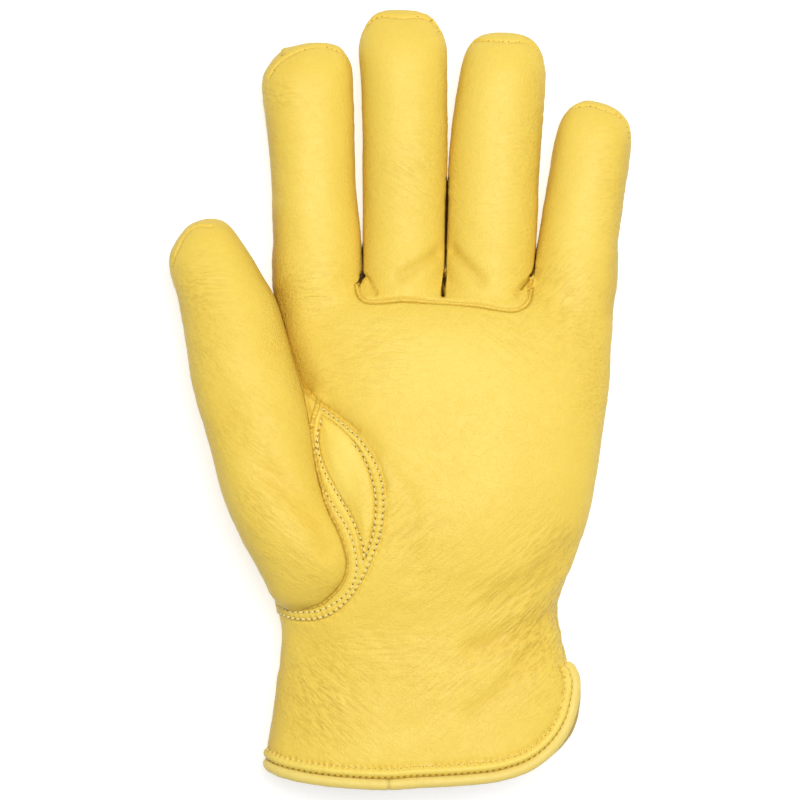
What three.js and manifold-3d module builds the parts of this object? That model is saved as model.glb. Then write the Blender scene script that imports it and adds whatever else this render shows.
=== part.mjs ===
// A lined driver glove for the left hand, lying palm up as if a hand were in it.
// Millimetres. +Z is up, +Y runs to the fingertips and +X to the little finger's side. The origin is
// on the surface that the glove lies on, under the middle of its outline.
//
// One wrapped leather makes the palm, the back, the index and the little finger. The fronts of the
// two middle fingers are a second leather, the thumb a third, and a Y-shaped band with a leaf-shaped
// gusset in it joins the thumb to the palm. Beads mark the two turned seams, and a rolled binding
// runs round the cuff, which is open in a vent on the little finger's side.
import * as THREE from "three";
import { mergeVertices } from "three/addons/utils/BufferGeometryUtils.js";
import Module from "manifold-3d";

const wasm = await Module();
wasm.setup();

// Driving dimensions
const WALL = 2.3; // leather with its pile lining
const GAP = 0.3; // air between pieces that are sewn to each other
const BAND_PROUD = 0.5; // how far the thumb band stands above the palm
const BEAD_RADIUS = 0.6; // seam beads at the thumb and under the two middle fingers
const ROLL_RADIUS = 1.9; // rolled binding round the cuff
const SEAM_HEIGHT = 10.6; // side seams of the two middle fingers, above the table
const WEB_HEIGHT = 18; // where the thumb's opening and the vent divide palm from back
const FINGER_ROUNDNESS = 2.25; // 2 is an ellipse, and more is boxier
const PALM_ROUNDNESS = 2.4;
const THUMB_ROUNDNESS = 2.15;
const FAR = 90; // past the glove on every side

const LEATHER = { color: 0xf7d660, roughness: 0.55, metalness: 0 };
const BINDING = { color: 0xf9e07c, roughness: 0.5, metalness: 0 };
const BEAD = { color: 0xd9b45a, roughness: 0.65, metalness: 0 };

function table(columns, rows) {
  const names = columns.split(" ");
  return rows.map((row) =>
    Object.fromEntries(names.map((name, i) => [name, row[i]])),
  );
}

// Each finger from inside the palm to its tip: its edges seen from above, and its under and upper side.
const SECTION = "y left right low high";
const INDEX = table(SECTION, [
  [18.3, -39.3, -13.0, 0.5, 30.0],
  [33.3, -41.2, -13.3, 0.0, 27.6],
  [53.3, -42.7, -14.0, -0.4, 26.0],
  [73.3, -43.3, -15.5, -0.4, 25.4],
  [93.3, -45.0, -15.7, -0.4, 25.0],
  [103.3, -46.3, -15.8, 0.0, 24.4],
  [108.3, -45.8, -16.0, 1.0, 23.4],
  [112.7, -43.3, -16.8, 3.2, 21.4],
  [115.5, -40.8, -18.5, 5.6, 19.4],
  [117.6, -37.5, -20.0, 8.4, 17.4],
  [118.8, -32.7, -22.5, 10.8, 15.4],
]);
const MIDDLE = table(SECTION, [
  [18.3, -13.7, 14.1, 0.5, 30.0],
  [33.3, -13.2, 13.9, 0.0, 27.8],
  [53.3, -13.0, 14.3, -0.4, 26.4],
  [73.3, -13.0, 15.0, -0.4, 26.0],
  [93.3, -13.0, 15.3, -0.4, 25.6],
  [108.3, -13.7, 15.3, -0.2, 25.2],
  [117.3, -14.2, 15.3, 1.2, 23.8],
  [121.3, -13.5, 14.5, 3.2, 21.8],
  [124.3, -12.2, 13.2, 5.4, 19.8],
  [126.9, -10.7, 11.5, 7.8, 17.8],
  [128.9, -8.9, 9.2, 10.0, 16.0],
  [130.0, -6.6, 6.2, 11.8, 14.6],
]);
const RING = table(SECTION, [
  [18.3, 14.5, 42.3, 0.5, 29.6],
  [33.3, 14.7, 42.7, 0.0, 27.4],
  [53.3, 15.1, 45.0, -0.4, 25.8],
  [73.3, 15.9, 46.0, -0.4, 25.4],
  [93.3, 17.3, 47.3, -0.4, 25.0],
  [108.3, 19.7, 48.0, 0.4, 24.0],
  [113.3, 20.7, 47.6, 2.2, 22.2],
  [116.7, 22.0, 46.4, 4.2, 20.4],
  [119.3, 23.8, 44.8, 6.8, 18.2],
  [121.3, 26.2, 42.2, 9.4, 16.2],
  [122.4, 29.8, 38.6, 11.2, 14.4],
]);
const LITTLE = table(SECTION, [
  [18.3, 42.3, 70.0, 0.5, 28.0],
  [33.3, 43.0, 71.3, 0.0, 26.0],
  [53.3, 45.7, 72.8, -0.4, 24.4],
  [73.3, 49.0, 75.7, -0.4, 23.8],
  [84.3, 50.9, 77.0, 0.2, 23.0],
  [90.0, 52.3, 76.8, 1.6, 21.8],
  [94.0, 54.0, 75.2, 3.8, 19.8],
  [96.9, 56.2, 72.2, 6.4, 17.6],
  [98.6, 58.4, 69.0, 8.6, 15.8],
  [99.5, 60.4, 65.2, 10.4, 14.2],
]);
// The thumb from its tip to where its root closes on the palm.
const THUMB = table(SECTION, [
  [60.3, -66.2, -60.2, 16.6, 20.2],
  [58.7, -70.0, -57.3, 13.6, 23.4],
  [56.0, -72.7, -55.0, 11.2, 26.2],
  [52.7, -75.0, -52.7, 9.4, 28.4],
  [48.0, -77.0, -49.5, 8.0, 30.6],
  [41.7, -76.7, -45.8, 7.6, 32.8],
  [33.3, -74.0, -41.8, 8.6, 35.4],
  [18.3, -71.0, -36.9, 11.0, 39.0],
  [3.3, -68.7, -32.0, 13.0, 42.0],
  [-10.0, -65.0, -29.2, 14.2, 44.2],
  [-23.3, -61.5, -26.8, 15.0, 45.4],
  [-35.0, -57.7, -22.8, 15.6, 46.0],
  [-45.0, -53.0, -17.6, 16.6, 46.0],
  [-53.3, -48.5, -15.2, 18.0, 44.6],
  [-60.0, -45.0, -16.4, 20.0, 42.0],
  [-64.3, -43.0, -19.6, 21.6, 39.4],
  [-67.6, -40.0, -23.6, 23.0, 36.4],
  [-70.0, -36.5, -28.4, 24.6, 31.0],
]);
// The palm and back, from the finger roots to below the cuff, where the hem is cut.
const PALM = table(SECTION, [
  [37.3, -33.7, 63.7, 7.0, 20.0],
  [35.3, -38.2, 68.3, 2.5, 25.0],
  [32.0, -40.0, 70.3, -0.2, 28.6],
  [26.7, -40.2, 70.8, -0.8, 31.6],
  [18.3, -39.3, 70.2, -1.2, 34.6],
  [3.3, -38.3, 69.3, -1.6, 38.0],
  [-16.7, -38.3, 66.3, -2.0, 40.2],
  [-36.7, -39.0, 62.7, -2.2, 40.8],
  [-53.3, -40.4, 57.7, -2.0, 40.0],
  [-66.7, -41.4, 52.8, -1.7, 38.2],
  [-76.7, -39.7, 53.3, -1.5, 37.0],
  [-86.7, -40.3, 55.6, -1.4, 36.8],
  [-89.0, -40.6, 58.4, -1.4, 36.8],
  [-92.6, -41.3, 61.2, -1.4, 36.8],
  [-98.0, -42.0, 62.4, -1.4, 36.9],
  [-110.0, -43.6, 62.8, -1.4, 37.2],
  [-120.0, -45.4, 61.6, -1.4, 37.6],
  [-134.0, -46.4, 60.0, -1.4, 38.0],
]);

// Seam and hem lines as seen from above.
const FINGER_SEAM = [
  [-13.4, 38.6], [-13.0, 34.4], [-10.8, 32.6], [0.7, 33.2], [13.3, 32.7],
  [24.0, 31.7], [35.8, 29.9], [39.9, 30.6], [42.2, 33.0], [43.0, 37.0],
];
const BAND_OUTLINE = [
  [-27.6, -1.4], [-20.1, -6.0], [-12.0, -13.6], [-6.6, -24.0], [-5.0, -35.3],
  [-6.8, -46.8], [-11.4, -57.6], [-18.0, -67.4], [-28.2, -73.0], [-36.0, -73.0],
  [-44.0, -69.6],
];
const GUSSET_RIGHT = [
  [-26.4, -4.6], [-19.6, -9.6], [-13.4, -17.0], [-9.4, -28.0], [-8.9, -39.0],
  [-12.2, -52.0],
];
const GUSSET_LEFT = [
  [-12.2, -52.0], [-15.0, -41.6], [-20.6, -31.0], [-25.8, -20.6], [-27.4, -12.6],
  [-26.4, -4.6],
];
// The cuff's cut edge: where it is along the glove at each angle round the section, from 0 at the
// vent through 90 in the palm and 180 on the thumb's side to 270 in the back.
const HEM = table("angle y", [
  [-90, -124.2], [-66, -122.2], [-52, -118.9], [-42, -112.2], [-35.5, -105.0],
  [-30.5, -97.0], [-27, -92.0], [-22, -88.8], [-18, -87.6], [-12, -86.8],
  [0, -86.4], [12, -86.8], [18, -87.6], [22, -88.8], [28, -92.0], [32, -97.3],
  [36.5, -105.8], [43, -113.0], [53, -119.6], [66, -123.1], [79, -124.5],
  [90, -125.3], [100, -126.2], [123, -125.3], [148, -122.6], [166, -120.3],
  [180, -119.2], [196, -120.2], [216, -122.0], [240, -123.6], [270, -124.2],
]);
const BINDING_ENDS = { vent: 12, joint: 99.6 }; // angles where the binding is cut

// One value of a table between its rows, on a smooth curve through them.
function columnAt(rows, name, value, key = "y") {
  const up = rows[0][key] > rows[rows.length - 1][key] ? [...rows].reverse() : rows;
  const last = up.length - 1;
  const at = THREE.MathUtils.clamp(value, up[0][key], up[last][key]);
  let i = 0;
  while (i < last - 1 && at > up[i + 1][key]) i++;
  const slope = (k) => {
    const a = up[Math.max(k - 1, 0)];
    const b = up[Math.min(k + 1, last)];
    return (b[name] - a[name]) / (b[key] - a[key]);
  };
  const span = up[i + 1][key] - up[i][key];
  const t = (at - up[i][key]) / span;
  const [p, q] = [up[i][name], up[i + 1][name]];
  return (
    p * (1 + 2 * t) * (1 - t) ** 2 +
    q * t * t * (3 - 2 * t) +
    span * (slope(i) * t * (1 - t) ** 2 - slope(i + 1) * t * t * (1 - t))
  );
}

const sectionAt = (rows, y) => ({
  y,
  left: columnAt(rows, "left", y),
  right: columnAt(rows, "right", y),
  low: columnAt(rows, "low", y),
  high: columnAt(rows, "high", y),
});

// The same form a wall's thickness further in, or further out if inset is negative.
function insetRows(rows, inset) {
  const ys = rows.map((row) => row.y);
  const middle = (Math.max(...ys) + Math.min(...ys)) / 2;
  const narrowest = 1.5;
  return rows
    .map((row) => ({
      y: row.y - inset * Math.sign(row.y - middle),
      left: row.left + inset,
      right: row.right - inset,
      low: row.low + inset,
      high: row.high - inset,
    }))
    .filter(
      (row) => row.right - row.left > narrowest && row.high - row.low > narrowest,
    );
}

// The point of a section at an angle from +X towards +Z, kept above the surface it rests on.
function rimPoint(row, angle, roundness, floor) {
  const power = (value) => Math.sign(value) * Math.abs(value) ** (2 / roundness);
  const x =
    (row.left + row.right) / 2 +
    ((row.right - row.left) / 2) * power(Math.cos(angle));
  const z =
    (row.low + row.high) / 2 +
    ((row.high - row.low) / 2) * power(Math.sin(angle));
  return new THREE.Vector3(x, row.y, Math.max(z, floor));
}

// A closed skin through the sections of a table.
function loftGeometry(rows, roundness, sides, floor) {
  const order = rows[0].y < rows[rows.length - 1].y ? rows : [...rows].reverse();
  const positions = [];
  const faces = [];
  for (const row of order)
    for (let k = 0; k < sides; k++)
      positions.push(
        ...rimPoint(row, (2 * Math.PI * k) / sides, roundness, floor).toArray(),
      );
  const at = (ring, k) => ring * sides + (k % sides);
  for (let ring = 0; ring < order.length - 1; ring++)
    for (let k = 0; k < sides; k++)
      faces.push(
        at(ring, k), at(ring + 1, k), at(ring + 1, k + 1),
        at(ring, k), at(ring + 1, k + 1), at(ring, k + 1),
      );
  const last = order.length - 1;
  for (const [ring, turned] of [[0, false], [last, true]]) {
    const row = order[ring];
    const centre = positions.length / 3;
    const height = Math.max((row.low + row.high) / 2, floor);
    positions.push((row.left + row.right) / 2, row.y, height);
    for (let k = 0; k < sides; k++)
      faces.push(
        centre,
        turned ? at(ring, k + 1) : at(ring, k),
        turned ? at(ring, k) : at(ring, k + 1),
      );
  }
  return new THREE.BufferGeometry()
    .setAttribute("position", new THREE.Float32BufferAttribute(positions, 3))
    .setIndex(faces);
}

// Solids for joining and cutting
function solidOf(geometry) {
  const bare = geometry.clone();
  bare.deleteAttribute("normal");
  bare.deleteAttribute("uv");
  const merged = mergeVertices(bare, 1e-4);
  return new wasm.Manifold(
    new wasm.Mesh({
      numProp: 3,
      vertProperties: new Float32Array(merged.attributes.position.array),
      triVerts: new Uint32Array(merged.index.array),
    }),
  );
}

const loft = (rows, roundness, sides, floor = 0) =>
  solidOf(loftGeometry(rows, roundness, sides, floor));

const union = (solids) => solids.reduce((all, one) => all.add(one));

// The main body of a cut, without the slivers that the cut leaves beside it.
const mainBody = (solid) =>
  solid.decompose().reduce((most, one) => (one.volume() > most.volume() ? one : most));

// What stands over an outline drawn from above, between two heights.
function overOutline(points, low, high) {
  const shape = new THREE.Shape(points.map(([x, y]) => new THREE.Vector2(x, y)));
  const geometry = new THREE.ExtrudeGeometry(shape, {
    depth: high - low,
    bevelEnabled: false,
  });
  return solidOf(geometry.translate(0, 0, low));
}

// What stands beside an outline of y and z, right across the glove.
function acrossOutline(points) {
  const shape = new THREE.Shape(points.map(([y, z]) => new THREE.Vector2(y, z)));
  const geometry = new THREE.ExtrudeGeometry(shape, {
    depth: 2 * FAR,
    bevelEnabled: false,
  });
  const swap = new THREE.Matrix4().set(0, 0, 1, -FAR, 1, 0, 0, 0, 0, 1, 0, 0, 0, 0, 0, 1);
  return solidOf(geometry.applyMatrix4(swap));
}

const smoothLine = (points, pieces) =>
  new THREE.SplineCurve(points.map(([x, y]) => new THREE.Vector2(x, y)))
    .getPoints(pieces)
    .map((p) => [p.x, p.y]);

// An outline moved sideways, to the right of its own direction if offset is positive.
function movedLine(points, offset) {
  return points.map(([x, y], i) => {
    const [ax, ay] = points[Math.max(i - 1, 0)];
    const [bx, by] = points[Math.min(i + 1, points.length - 1)];
    const length = Math.hypot(bx - ax, by - ay);
    return [x + (offset * (by - ay)) / length, y - (offset * (bx - ax)) / length];
  });
}

// The upper surface of a form at a point seen from above, or its middle height beside it.
function topOf(rows, roundness, x, y) {
  const row = sectionAt(rows, y);
  const reach = Math.abs(x - (row.left + row.right) / 2) / ((row.right - row.left) / 2);
  const share = Math.max(1 - reach ** roundness, 0) ** (1 / roundness);
  return (row.low + row.high) / 2 + ((row.high - row.low) / 2) * share;
}

function tube(points, radius, sides, steps) {
  const section = new THREE.Shape().absarc(0, 0, radius, 0, 2 * Math.PI);
  const geometry = new THREE.ExtrudeGeometry(section, {
    steps,
    curveSegments: sides / 2,
    extrudePath: new THREE.CatmullRomCurve3(points),
  });
  return solidOf(geometry);
}

// The palm's hollow runs out past the hem.
const openEnded = (rows) =>
  rows.map((row) => (row.y > -130 ? row : { ...row, y: row.y - 10 }));

// The forms, outside and inside
const SIDES = { palm: 38, finger: 16, thumb: 20 };
const formsOf = (inset, floor, coarser = 0, palm = PALM) => ({
  palm: loft(insetRows(palm, inset), PALM_ROUNDNESS, SIDES.palm - 4 * coarser, floor),
  thumb: loft(insetRows(THUMB, inset), THUMB_ROUNDNESS, SIDES.thumb - coarser, floor),
  fingers: [INDEX, MIDDLE, RING, LITTLE].map((rows) =>
    loft(insetRows(rows, inset), FINGER_ROUNDNESS, SIDES.finger - coarser, floor),
  ),
});
const outside = formsOf(0, 0);
const inside = formsOf(WALL, WALL, 2, openEnded(PALM));
const cavity = union([inside.palm, ...inside.fingers, inside.thumb]);
const [indexForm, middleForm, ringForm, littleForm] = outside.fingers;

// The leather that is cut away for the two middle fingers' own front, narrower by the gap for the
// front itself. It rises at the fingertips, so that the back leather closes over them.
const SEAM_SLOT = 2 * (BEAD_RADIUS + GAP);
function middleFrontRegion(shrink) {
  const seam = movedLine(smoothLine(FINGER_SEAM, 24), -shrink);
  const outline = [
    ...seam.slice(1, -1),
    [43.4, 40], [44.7, 48], [45.4, 54], [47.4, 70], [49.4, 94], [51.5, 110],
    [53, 140], [-14, 140], [-14.9, 110], [-14.3, 75], [-13.5, 52], [-13.3, 41],
  ];
  const rise = [
    [0, SEAM_HEIGHT], [96, SEAM_HEIGHT], [112, 11.8], [120, 13.4], [140, 16.4],
  ].map(([y, z]) => [y, z + shrink / 2]);
  return overOutline(outline, 0, FAR).intersect(
    acrossOutline([...rise, [140, FAR], [0, FAR]]),
  );
}

// What is cut off below the hem: a skirt through the wall from the hem's edge downwards.
function belowHem() {
  const [through, beyond] = [insetRows(PALM, 9), insetRows(PALM, -7)];
  const angles = [];
  for (let angle = -24; angle < 24; angle += 3) angles.push(angle);
  for (let angle = 24; angle < 336; angle += 6) angles.push(angle);
  const bottom = PALM[PALM.length - 1].y - 4;
  const positions = angles.flatMap((angle) => {
    const y = hemAt(angle);
    const [inner, outer] = [through, beyond].map((rows) =>
      rimPoint(sectionAt(rows, y), THREE.MathUtils.degToRad(angle), PALM_ROUNDNESS, -FAR),
    );
    return [inner, outer, outer, inner].flatMap((p, i) => [
      p.x,
      i < 2 ? y : bottom,
      p.z,
    ]);
  });
  const faces = [];
  for (let i = 0; i < angles.length; i++)
    for (let k = 0; k < 4; k++) {
      const [a, b] = [4 * i, 4 * ((i + 1) % angles.length)];
      const next = (k + 1) % 4;
      faces.push(a + k, b + next, a + next, a + k, b + k, b + next);
    }
  const geometry = new THREE.BufferGeometry()
    .setAttribute("position", new THREE.Float32BufferAttribute(positions, 3))
    .setIndex(faces);
  return solidOf(geometry);
}

function bandRegion(shrink) {
  const outline = [
    ...movedLine(smoothLine(BAND_OUTLINE, 26), shrink), [-FAR, -69.6 + shrink],
    [-FAR, -1.4 - shrink],
  ];
  return overOutline(outline, WEB_HEIGHT + shrink, FAR);
}

function gussetRegion(shrink) {
  const right = movedLine(smoothLine(GUSSET_RIGHT, 14), shrink);
  const left = movedLine(smoothLine(GUSSET_LEFT, 14), shrink);
  const blunt = shrink > 0 ? 1 : 0; // its two points end short of the slit's
  const sides = [right, left].map((side) => side.slice(blunt, side.length - blunt));
  return overOutline(sides.flat(), WEB_HEIGHT, FAR);
}

// Pieces
function palmAndBack() {
  return mainBody(
    union([outside.palm, ...outside.fingers])
      .subtract(cavity)
      .subtract(middleFrontRegion(-SEAM_SLOT / 2))
      .subtract(bandRegion(0))
      .subtract(belowHem()),
  );
}

function twoFingerFront() {
  return union([outside.palm, middleForm, ringForm])
    .subtract(cavity)
    .intersect(middleFrontRegion(SEAM_SLOT / 2));
}

function thumb() {
  const above = BAND_PROUD + GAP;
  return outside.thumb
    .subtract(cavity)
    .subtract(loft(insetRows(PALM, -above), PALM_ROUNDNESS, SIDES.palm))
    .subtract(loft(insetRows(INDEX, -above), FINGER_ROUNDNESS, SIDES.finger));
}

function thumbBand() {
  return mainBody(
    loft(insetRows(PALM, -BAND_PROUD), PALM_ROUNDNESS, SIDES.palm)
      .intersect(bandRegion(GAP))
      .subtract(cavity)
      .subtract(gussetRegion(-GAP / 2)),
  );
}

function thumbGusset() {
  return outside.palm.intersect(gussetRegion(GAP / 2)).subtract(cavity);
}

// The bead in the corner between the thumb and its band: where the thumb's form, grown to the bead's
// middle, runs into the palm's or the index finger's. It goes down the palm's side and up the back's.
function thumbSeamLine() {
  const clear = BEAD_RADIUS + GAP + 0.1;
  const grown = insetRows(THUMB, -clear);
  const forms = [
    [insetRows(PALM, -(BAND_PROUD + clear)), PALM_ROUNDNESS],
    [insetRows(INDEX, -clear), FINGER_ROUNDNESS],
  ];
  const sunk = (p) =>
    forms.some(([rows, roundness]) => {
      const row = sectionAt(rows, p.y);
      const [across, up] = [(row.right - row.left) / 2, (row.high - row.low) / 2];
      const x = Math.abs(p.x - (row.left + row.right) / 2) / across;
      const z = Math.abs(p.z - (row.low + row.high) / 2) / up;
      const within = (rows[0].y - p.y) * (rows[rows.length - 1].y - p.y) < 0;
      return within && x ** roundness + z ** roundness < 1;
    });
  const crossing = (y, turn) => {
    const row = sectionAt(grown, y);
    const at = (angle) => rimPoint(row, angle, THUMB_ROUNDNESS, 0);
    const step = (turn * Math.PI) / 60;
    for (let i = 1; i < 110; i++)
      if (sunk(at(Math.PI / 2 + i * step))) {
        let [free, gone] = [(i - 1) * step, i * step];
        for (let k = 0; k < 16; k++) {
          const middle = (free + gone) / 2;
          if (sunk(at(Math.PI / 2 + middle))) gone = middle;
          else free = middle;
        }
        return at(Math.PI / 2 + free);
      }
    return null;
  };
  const levels = [];
  for (let y = 38; y > -71; y -= 2) levels.push(y);
  const down = levels.map((y) => crossing(y, -1)).filter(Boolean);
  const up = levels.map((y) => crossing(y, 1)).filter(Boolean).reverse();
  return [...down, ...up];
}

function fingerSeamBead() {
  const points = smoothLine(FINGER_SEAM, 30).slice(1, -1).map(([x, y]) => {
    const heights = [
      topOf(PALM, PALM_ROUNDNESS, x, y),
      topOf(MIDDLE, FINGER_ROUNDNESS, x, y),
      topOf(RING, FINGER_ROUNDNESS, x, y),
    ];
    return new THREE.Vector3(x, y, Math.max(...heights));
  });
  return tube(points, BEAD_RADIUS, 6, 36);
}

const hemAt = (angle) =>
  columnAt(HEM, "y", angle > 270 ? angle - 360 : angle, "angle");

// The rolled binding's middle line between two angles: past the cut edge, in the wall's own surface.
function rollLine(from, to) {
  const middle = insetRows(PALM, WALL / 2);
  const edgePoint = (angle) =>
    rimPoint(
      sectionAt(middle, hemAt(angle)),
      THREE.MathUtils.degToRad(angle),
      PALM_ROUNDNESS,
      WALL / 2,
    );
  const count = Math.ceil(Math.abs(to - from) / 4);
  return Array.from({ length: count + 1 }, (_, i) => {
    const angle = from + ((to - from) * i) / count;
    const p = edgePoint(angle);
    const along = edgePoint(angle + 0.5).sub(edgePoint(angle - 0.5)).normalize();
    const row = sectionAt(PALM, p.y);
    const outward = new THREE.Vector3(
      (p.x - (row.left + row.right) / 2) / ((row.right - row.left) / 2) ** 2,
      0,
      (p.z - (row.low + row.high) / 2) / ((row.high - row.low) / 2) ** 2,
    );
    const away = new THREE.Vector3().crossVectors(outward, along).normalize();
    p.addScaledVector(away, ROLL_RADIUS + GAP);
    p.z = Math.max(p.z, ROLL_RADIUS);
    return p;
  });
}

const thumbSeamBead = () => tube(thumbSeamLine(), BEAD_RADIUS, 6, 52);

// The binding from the vent to the joint in it, or from the joint round the back to the vent.
const binding = (from, to, steps) => tube(rollLine(from, to), ROLL_RADIUS, 8, steps);

const glove = new THREE.Group();

function addPiece(name, solid, finish) {
  const { vertProperties, triVerts } = solid.getMesh();
  const geometry = new THREE.BufferGeometry()
    .setAttribute("position", new THREE.BufferAttribute(vertProperties, 3))
    .setIndex(new THREE.BufferAttribute(triVerts, 1));
  geometry.computeVertexNormals();
  const mesh = new THREE.Mesh(geometry, new THREE.MeshStandardMaterial(finish));
  mesh.name = name;
  glove.add(mesh);
}

addPiece("palm_and_back", palmAndBack(), LEATHER);
addPiece("two_finger_front", twoFingerFront(), LEATHER);
addPiece("thumb", thumb(), LEATHER);
addPiece("thumb_band", thumbBand(), LEATHER);
addPiece("thumb_gusset", thumbGusset(), LEATHER);
addPiece("finger_seam_bead", fingerSeamBead(), BEAD);
addPiece("thumb_seam_bead", thumbSeamBead(), BEAD);
addPiece(
  "cuff_binding_palm",
  binding(BINDING_ENDS.vent, BINDING_ENDS.joint - 0.3, 30),
  BINDING,
);
addPiece(
  "cuff_binding_back",
  binding(BINDING_ENDS.joint + 0.3, 360 - BINDING_ENDS.vent, 52),
  BINDING,
);

export default glove;
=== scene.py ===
"""A lined driver glove for the left hand, lying palm up: grain leather, turned seams, thread and a
rolled cuff. Tables are in millimetres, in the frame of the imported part: +X to the little finger's
side, +Y to the fingertips, +Z up out of the palm."""

import math

import bmesh
import bpy
import numpy as np
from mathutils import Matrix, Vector, noise
from mathutils.bvhtree import BVHTree


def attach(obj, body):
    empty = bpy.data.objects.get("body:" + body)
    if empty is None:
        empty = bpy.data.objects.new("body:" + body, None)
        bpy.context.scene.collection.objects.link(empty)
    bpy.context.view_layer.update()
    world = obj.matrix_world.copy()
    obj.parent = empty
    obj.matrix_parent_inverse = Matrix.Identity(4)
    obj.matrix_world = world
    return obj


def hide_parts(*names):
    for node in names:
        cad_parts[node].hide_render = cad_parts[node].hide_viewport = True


bl_info = {
    "name": "Lined driver glove",
    "version": (1, 0, 0),
    "blender": (4, 5, 0),
    "location": "View3D > Sidebar > Glove",
    "description": "Grain leather, seams, thread and rolled cuff of a lined driver glove",
    "category": "Add Mesh",
}

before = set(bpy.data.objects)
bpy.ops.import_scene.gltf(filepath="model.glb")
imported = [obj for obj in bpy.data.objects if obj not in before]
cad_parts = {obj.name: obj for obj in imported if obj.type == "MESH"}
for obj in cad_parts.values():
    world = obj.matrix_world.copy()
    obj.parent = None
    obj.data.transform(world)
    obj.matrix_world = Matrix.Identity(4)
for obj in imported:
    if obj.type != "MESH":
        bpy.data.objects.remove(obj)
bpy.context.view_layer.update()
MM = 0.001

# Forms: y, left, right, low and high of each section, as in the part's source.
INDEX = [
    (18.3, -37, -15, 3, 26),
    (33.3, -42.2, -13.6, 0.2, 27.2),
    (53.3, -42.9, -13.4, -0.4, 26),
    (73.3, -43.3, -15.1, -0.4, 25.4),
    (93.3, -45, -15.5, -0.4, 25),
    (103.3, -46.3, -15.8, 0, 24.4),
    (108.3, -45.8, -16, 1, 23.4),
    (112.7, -43.3, -16.8, 3.2, 21.4),
    (115.5, -40.8, -18.5, 5.6, 19.4),
    (117.6, -37.5, -20, 8.4, 17.4),
    (118.8, -32.7, -22.5, 10.8, 15.4),
    (119.2, -30.5, -25, 12.2, 14.2),
]
MIDDLE = [
    (18.3, -11.5, 12, 3, 26),
    (33.3, -12.8, 13.9, 0.2, 27.4),
    (53.3, -12.7, 15.1, -0.4, 26.4),
    (73.3, -12.9, 15.5, -0.4, 26),
    (93.3, -13, 15.4, -0.4, 25.6),
    (108.3, -13.7, 15.4, -0.2, 25.2),
    (117.3, -14.2, 15.4, 1.2, 23.8),
    (121.3, -13.5, 14.6, 3.2, 21.8),
    (124.3, -12.2, 13.2, 5.4, 19.8),
    (126.9, -10.7, 11.5, 7.8, 17.8),
    (128.9, -8.9, 9.2, 10, 16),
    (130, -6.6, 6.2, 11.8, 14.6),
    (130.4, -3, 2.6, 12.8, 13.8),
]
RING = [
    (18.3, 17, 40, 3, 26),
    (33.3, 14.9, 42.4, 0.2, 27),
    (53.3, 14.7, 45.1, -0.4, 25.8),
    (73.3, 15.4, 46.1, -0.4, 25.4),
    (93.3, 17.3, 47.4, -0.4, 25),
    (108.3, 19.7, 48.1, 0.4, 24),
    (113.3, 20.7, 47.7, 2.2, 22.2),
    (116.7, 22, 46.5, 4.2, 20.4),
    (119.3, 23.8, 44.8, 6.8, 18.2),
    (121.3, 26.2, 42.2, 9.4, 16.2),
    (122.4, 29.8, 38.6, 11.2, 14.4),
    (122.7, 32, 36, 12.4, 13.4),
]
LITTLE = [
    (18.3, 45, 67.6, 3, 25),
    (33.3, 43.3, 71.1, 0.2, 25.8),
    (53.3, 45.8, 72.9, -0.4, 24.4),
    (73.3, 49, 75.8, -0.4, 23.8),
    (84.3, 50.9, 77, 0.2, 23),
    (90, 52.3, 76.8, 1.6, 21.8),
    (94, 54, 75.2, 3.8, 19.8),
    (96.9, 56.2, 72.2, 6.4, 17.6),
    (98.6, 58.4, 69, 8.6, 15.8),
    (99.5, 60.4, 65.2, 10.4, 14.2),
    (99.9, 61.6, 63.8, 11.6, 13),
]
THUMB = [
    (60.7, -64.2, -62, 18, 19.2),
    (60.3, -66.2, -60.2, 16.6, 20.2),
    (58.7, -70, -57.3, 13.6, 23.4),
    (56, -72.7, -55, 11.2, 26.2),
    (52.7, -75, -52.7, 9.4, 28.4),
    (48, -77, -49.5, 8, 30.6),
    (41.7, -76.7, -45.8, 7.6, 32.8),
    (33.3, -74, -41.2, 8.6, 35.4),
    (18.3, -71, -36.7, 11, 39),
    (3.3, -68.7, -32, 13, 42),
    (-10, -65, -29.2, 14.2, 44.2),
    (-23.3, -61.5, -26.8, 15, 45.4),
    (-35, -57.7, -22.8, 15.6, 46),
    (-45, -53, -17.6, 16.6, 46),
    (-53.3, -48.5, -15.2, 18, 44.6),
    (-60, -45, -16.4, 20, 42),
    (-64.3, -43, -19.6, 21.6, 39.4),
    (-67.6, -40, -23.6, 23, 36.4),
    (-70, -36.5, -28.4, 24.6, 31),
]
PALM = [
    (37.8, -31, 61, 9, 17),
    (37, -34.5, 64.5, 6, 21),
    (35, -38.4, 68.5, 2.2, 25.4),
    (32, -41.8, 70.3, -0.2, 28.6),
    (26.7, -41.8, 70.8, -0.8, 31.6),
    (18.3, -40.3, 70.2, -1.2, 34.6),
    (3.3, -38.3, 69.3, -1.6, 38),
    (-16.7, -38.3, 66.3, -2, 40.2),
    (-36.7, -39, 62.7, -2.2, 40.8),
    (-53.3, -40.4, 57.7, -2, 40),
    (-66.7, -41.4, 52.8, -1.7, 38.2),
    (-76.7, -39.7, 53.3, -1.5, 37),
    (-86.7, -40.3, 55.6, -1.4, 36.8),
    (-89, -40.6, 58.4, -1.4, 36.8),
    (-92.6, -41.3, 61.2, -1.4, 36.8),
    (-98, -42, 62.4, -1.4, 36.9),
    (-110, -43.6, 62.8, -1.4, 37.2),
    (-120, -45.4, 61.6, -1.4, 37.6),
    (-134, -46.4, 60, -1.4, 38),
]
PALM_ROUNDNESS = 2.4
FINGER_ROUNDNESS = 2.25
THUMB_ROUNDNESS = 2.15

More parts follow.
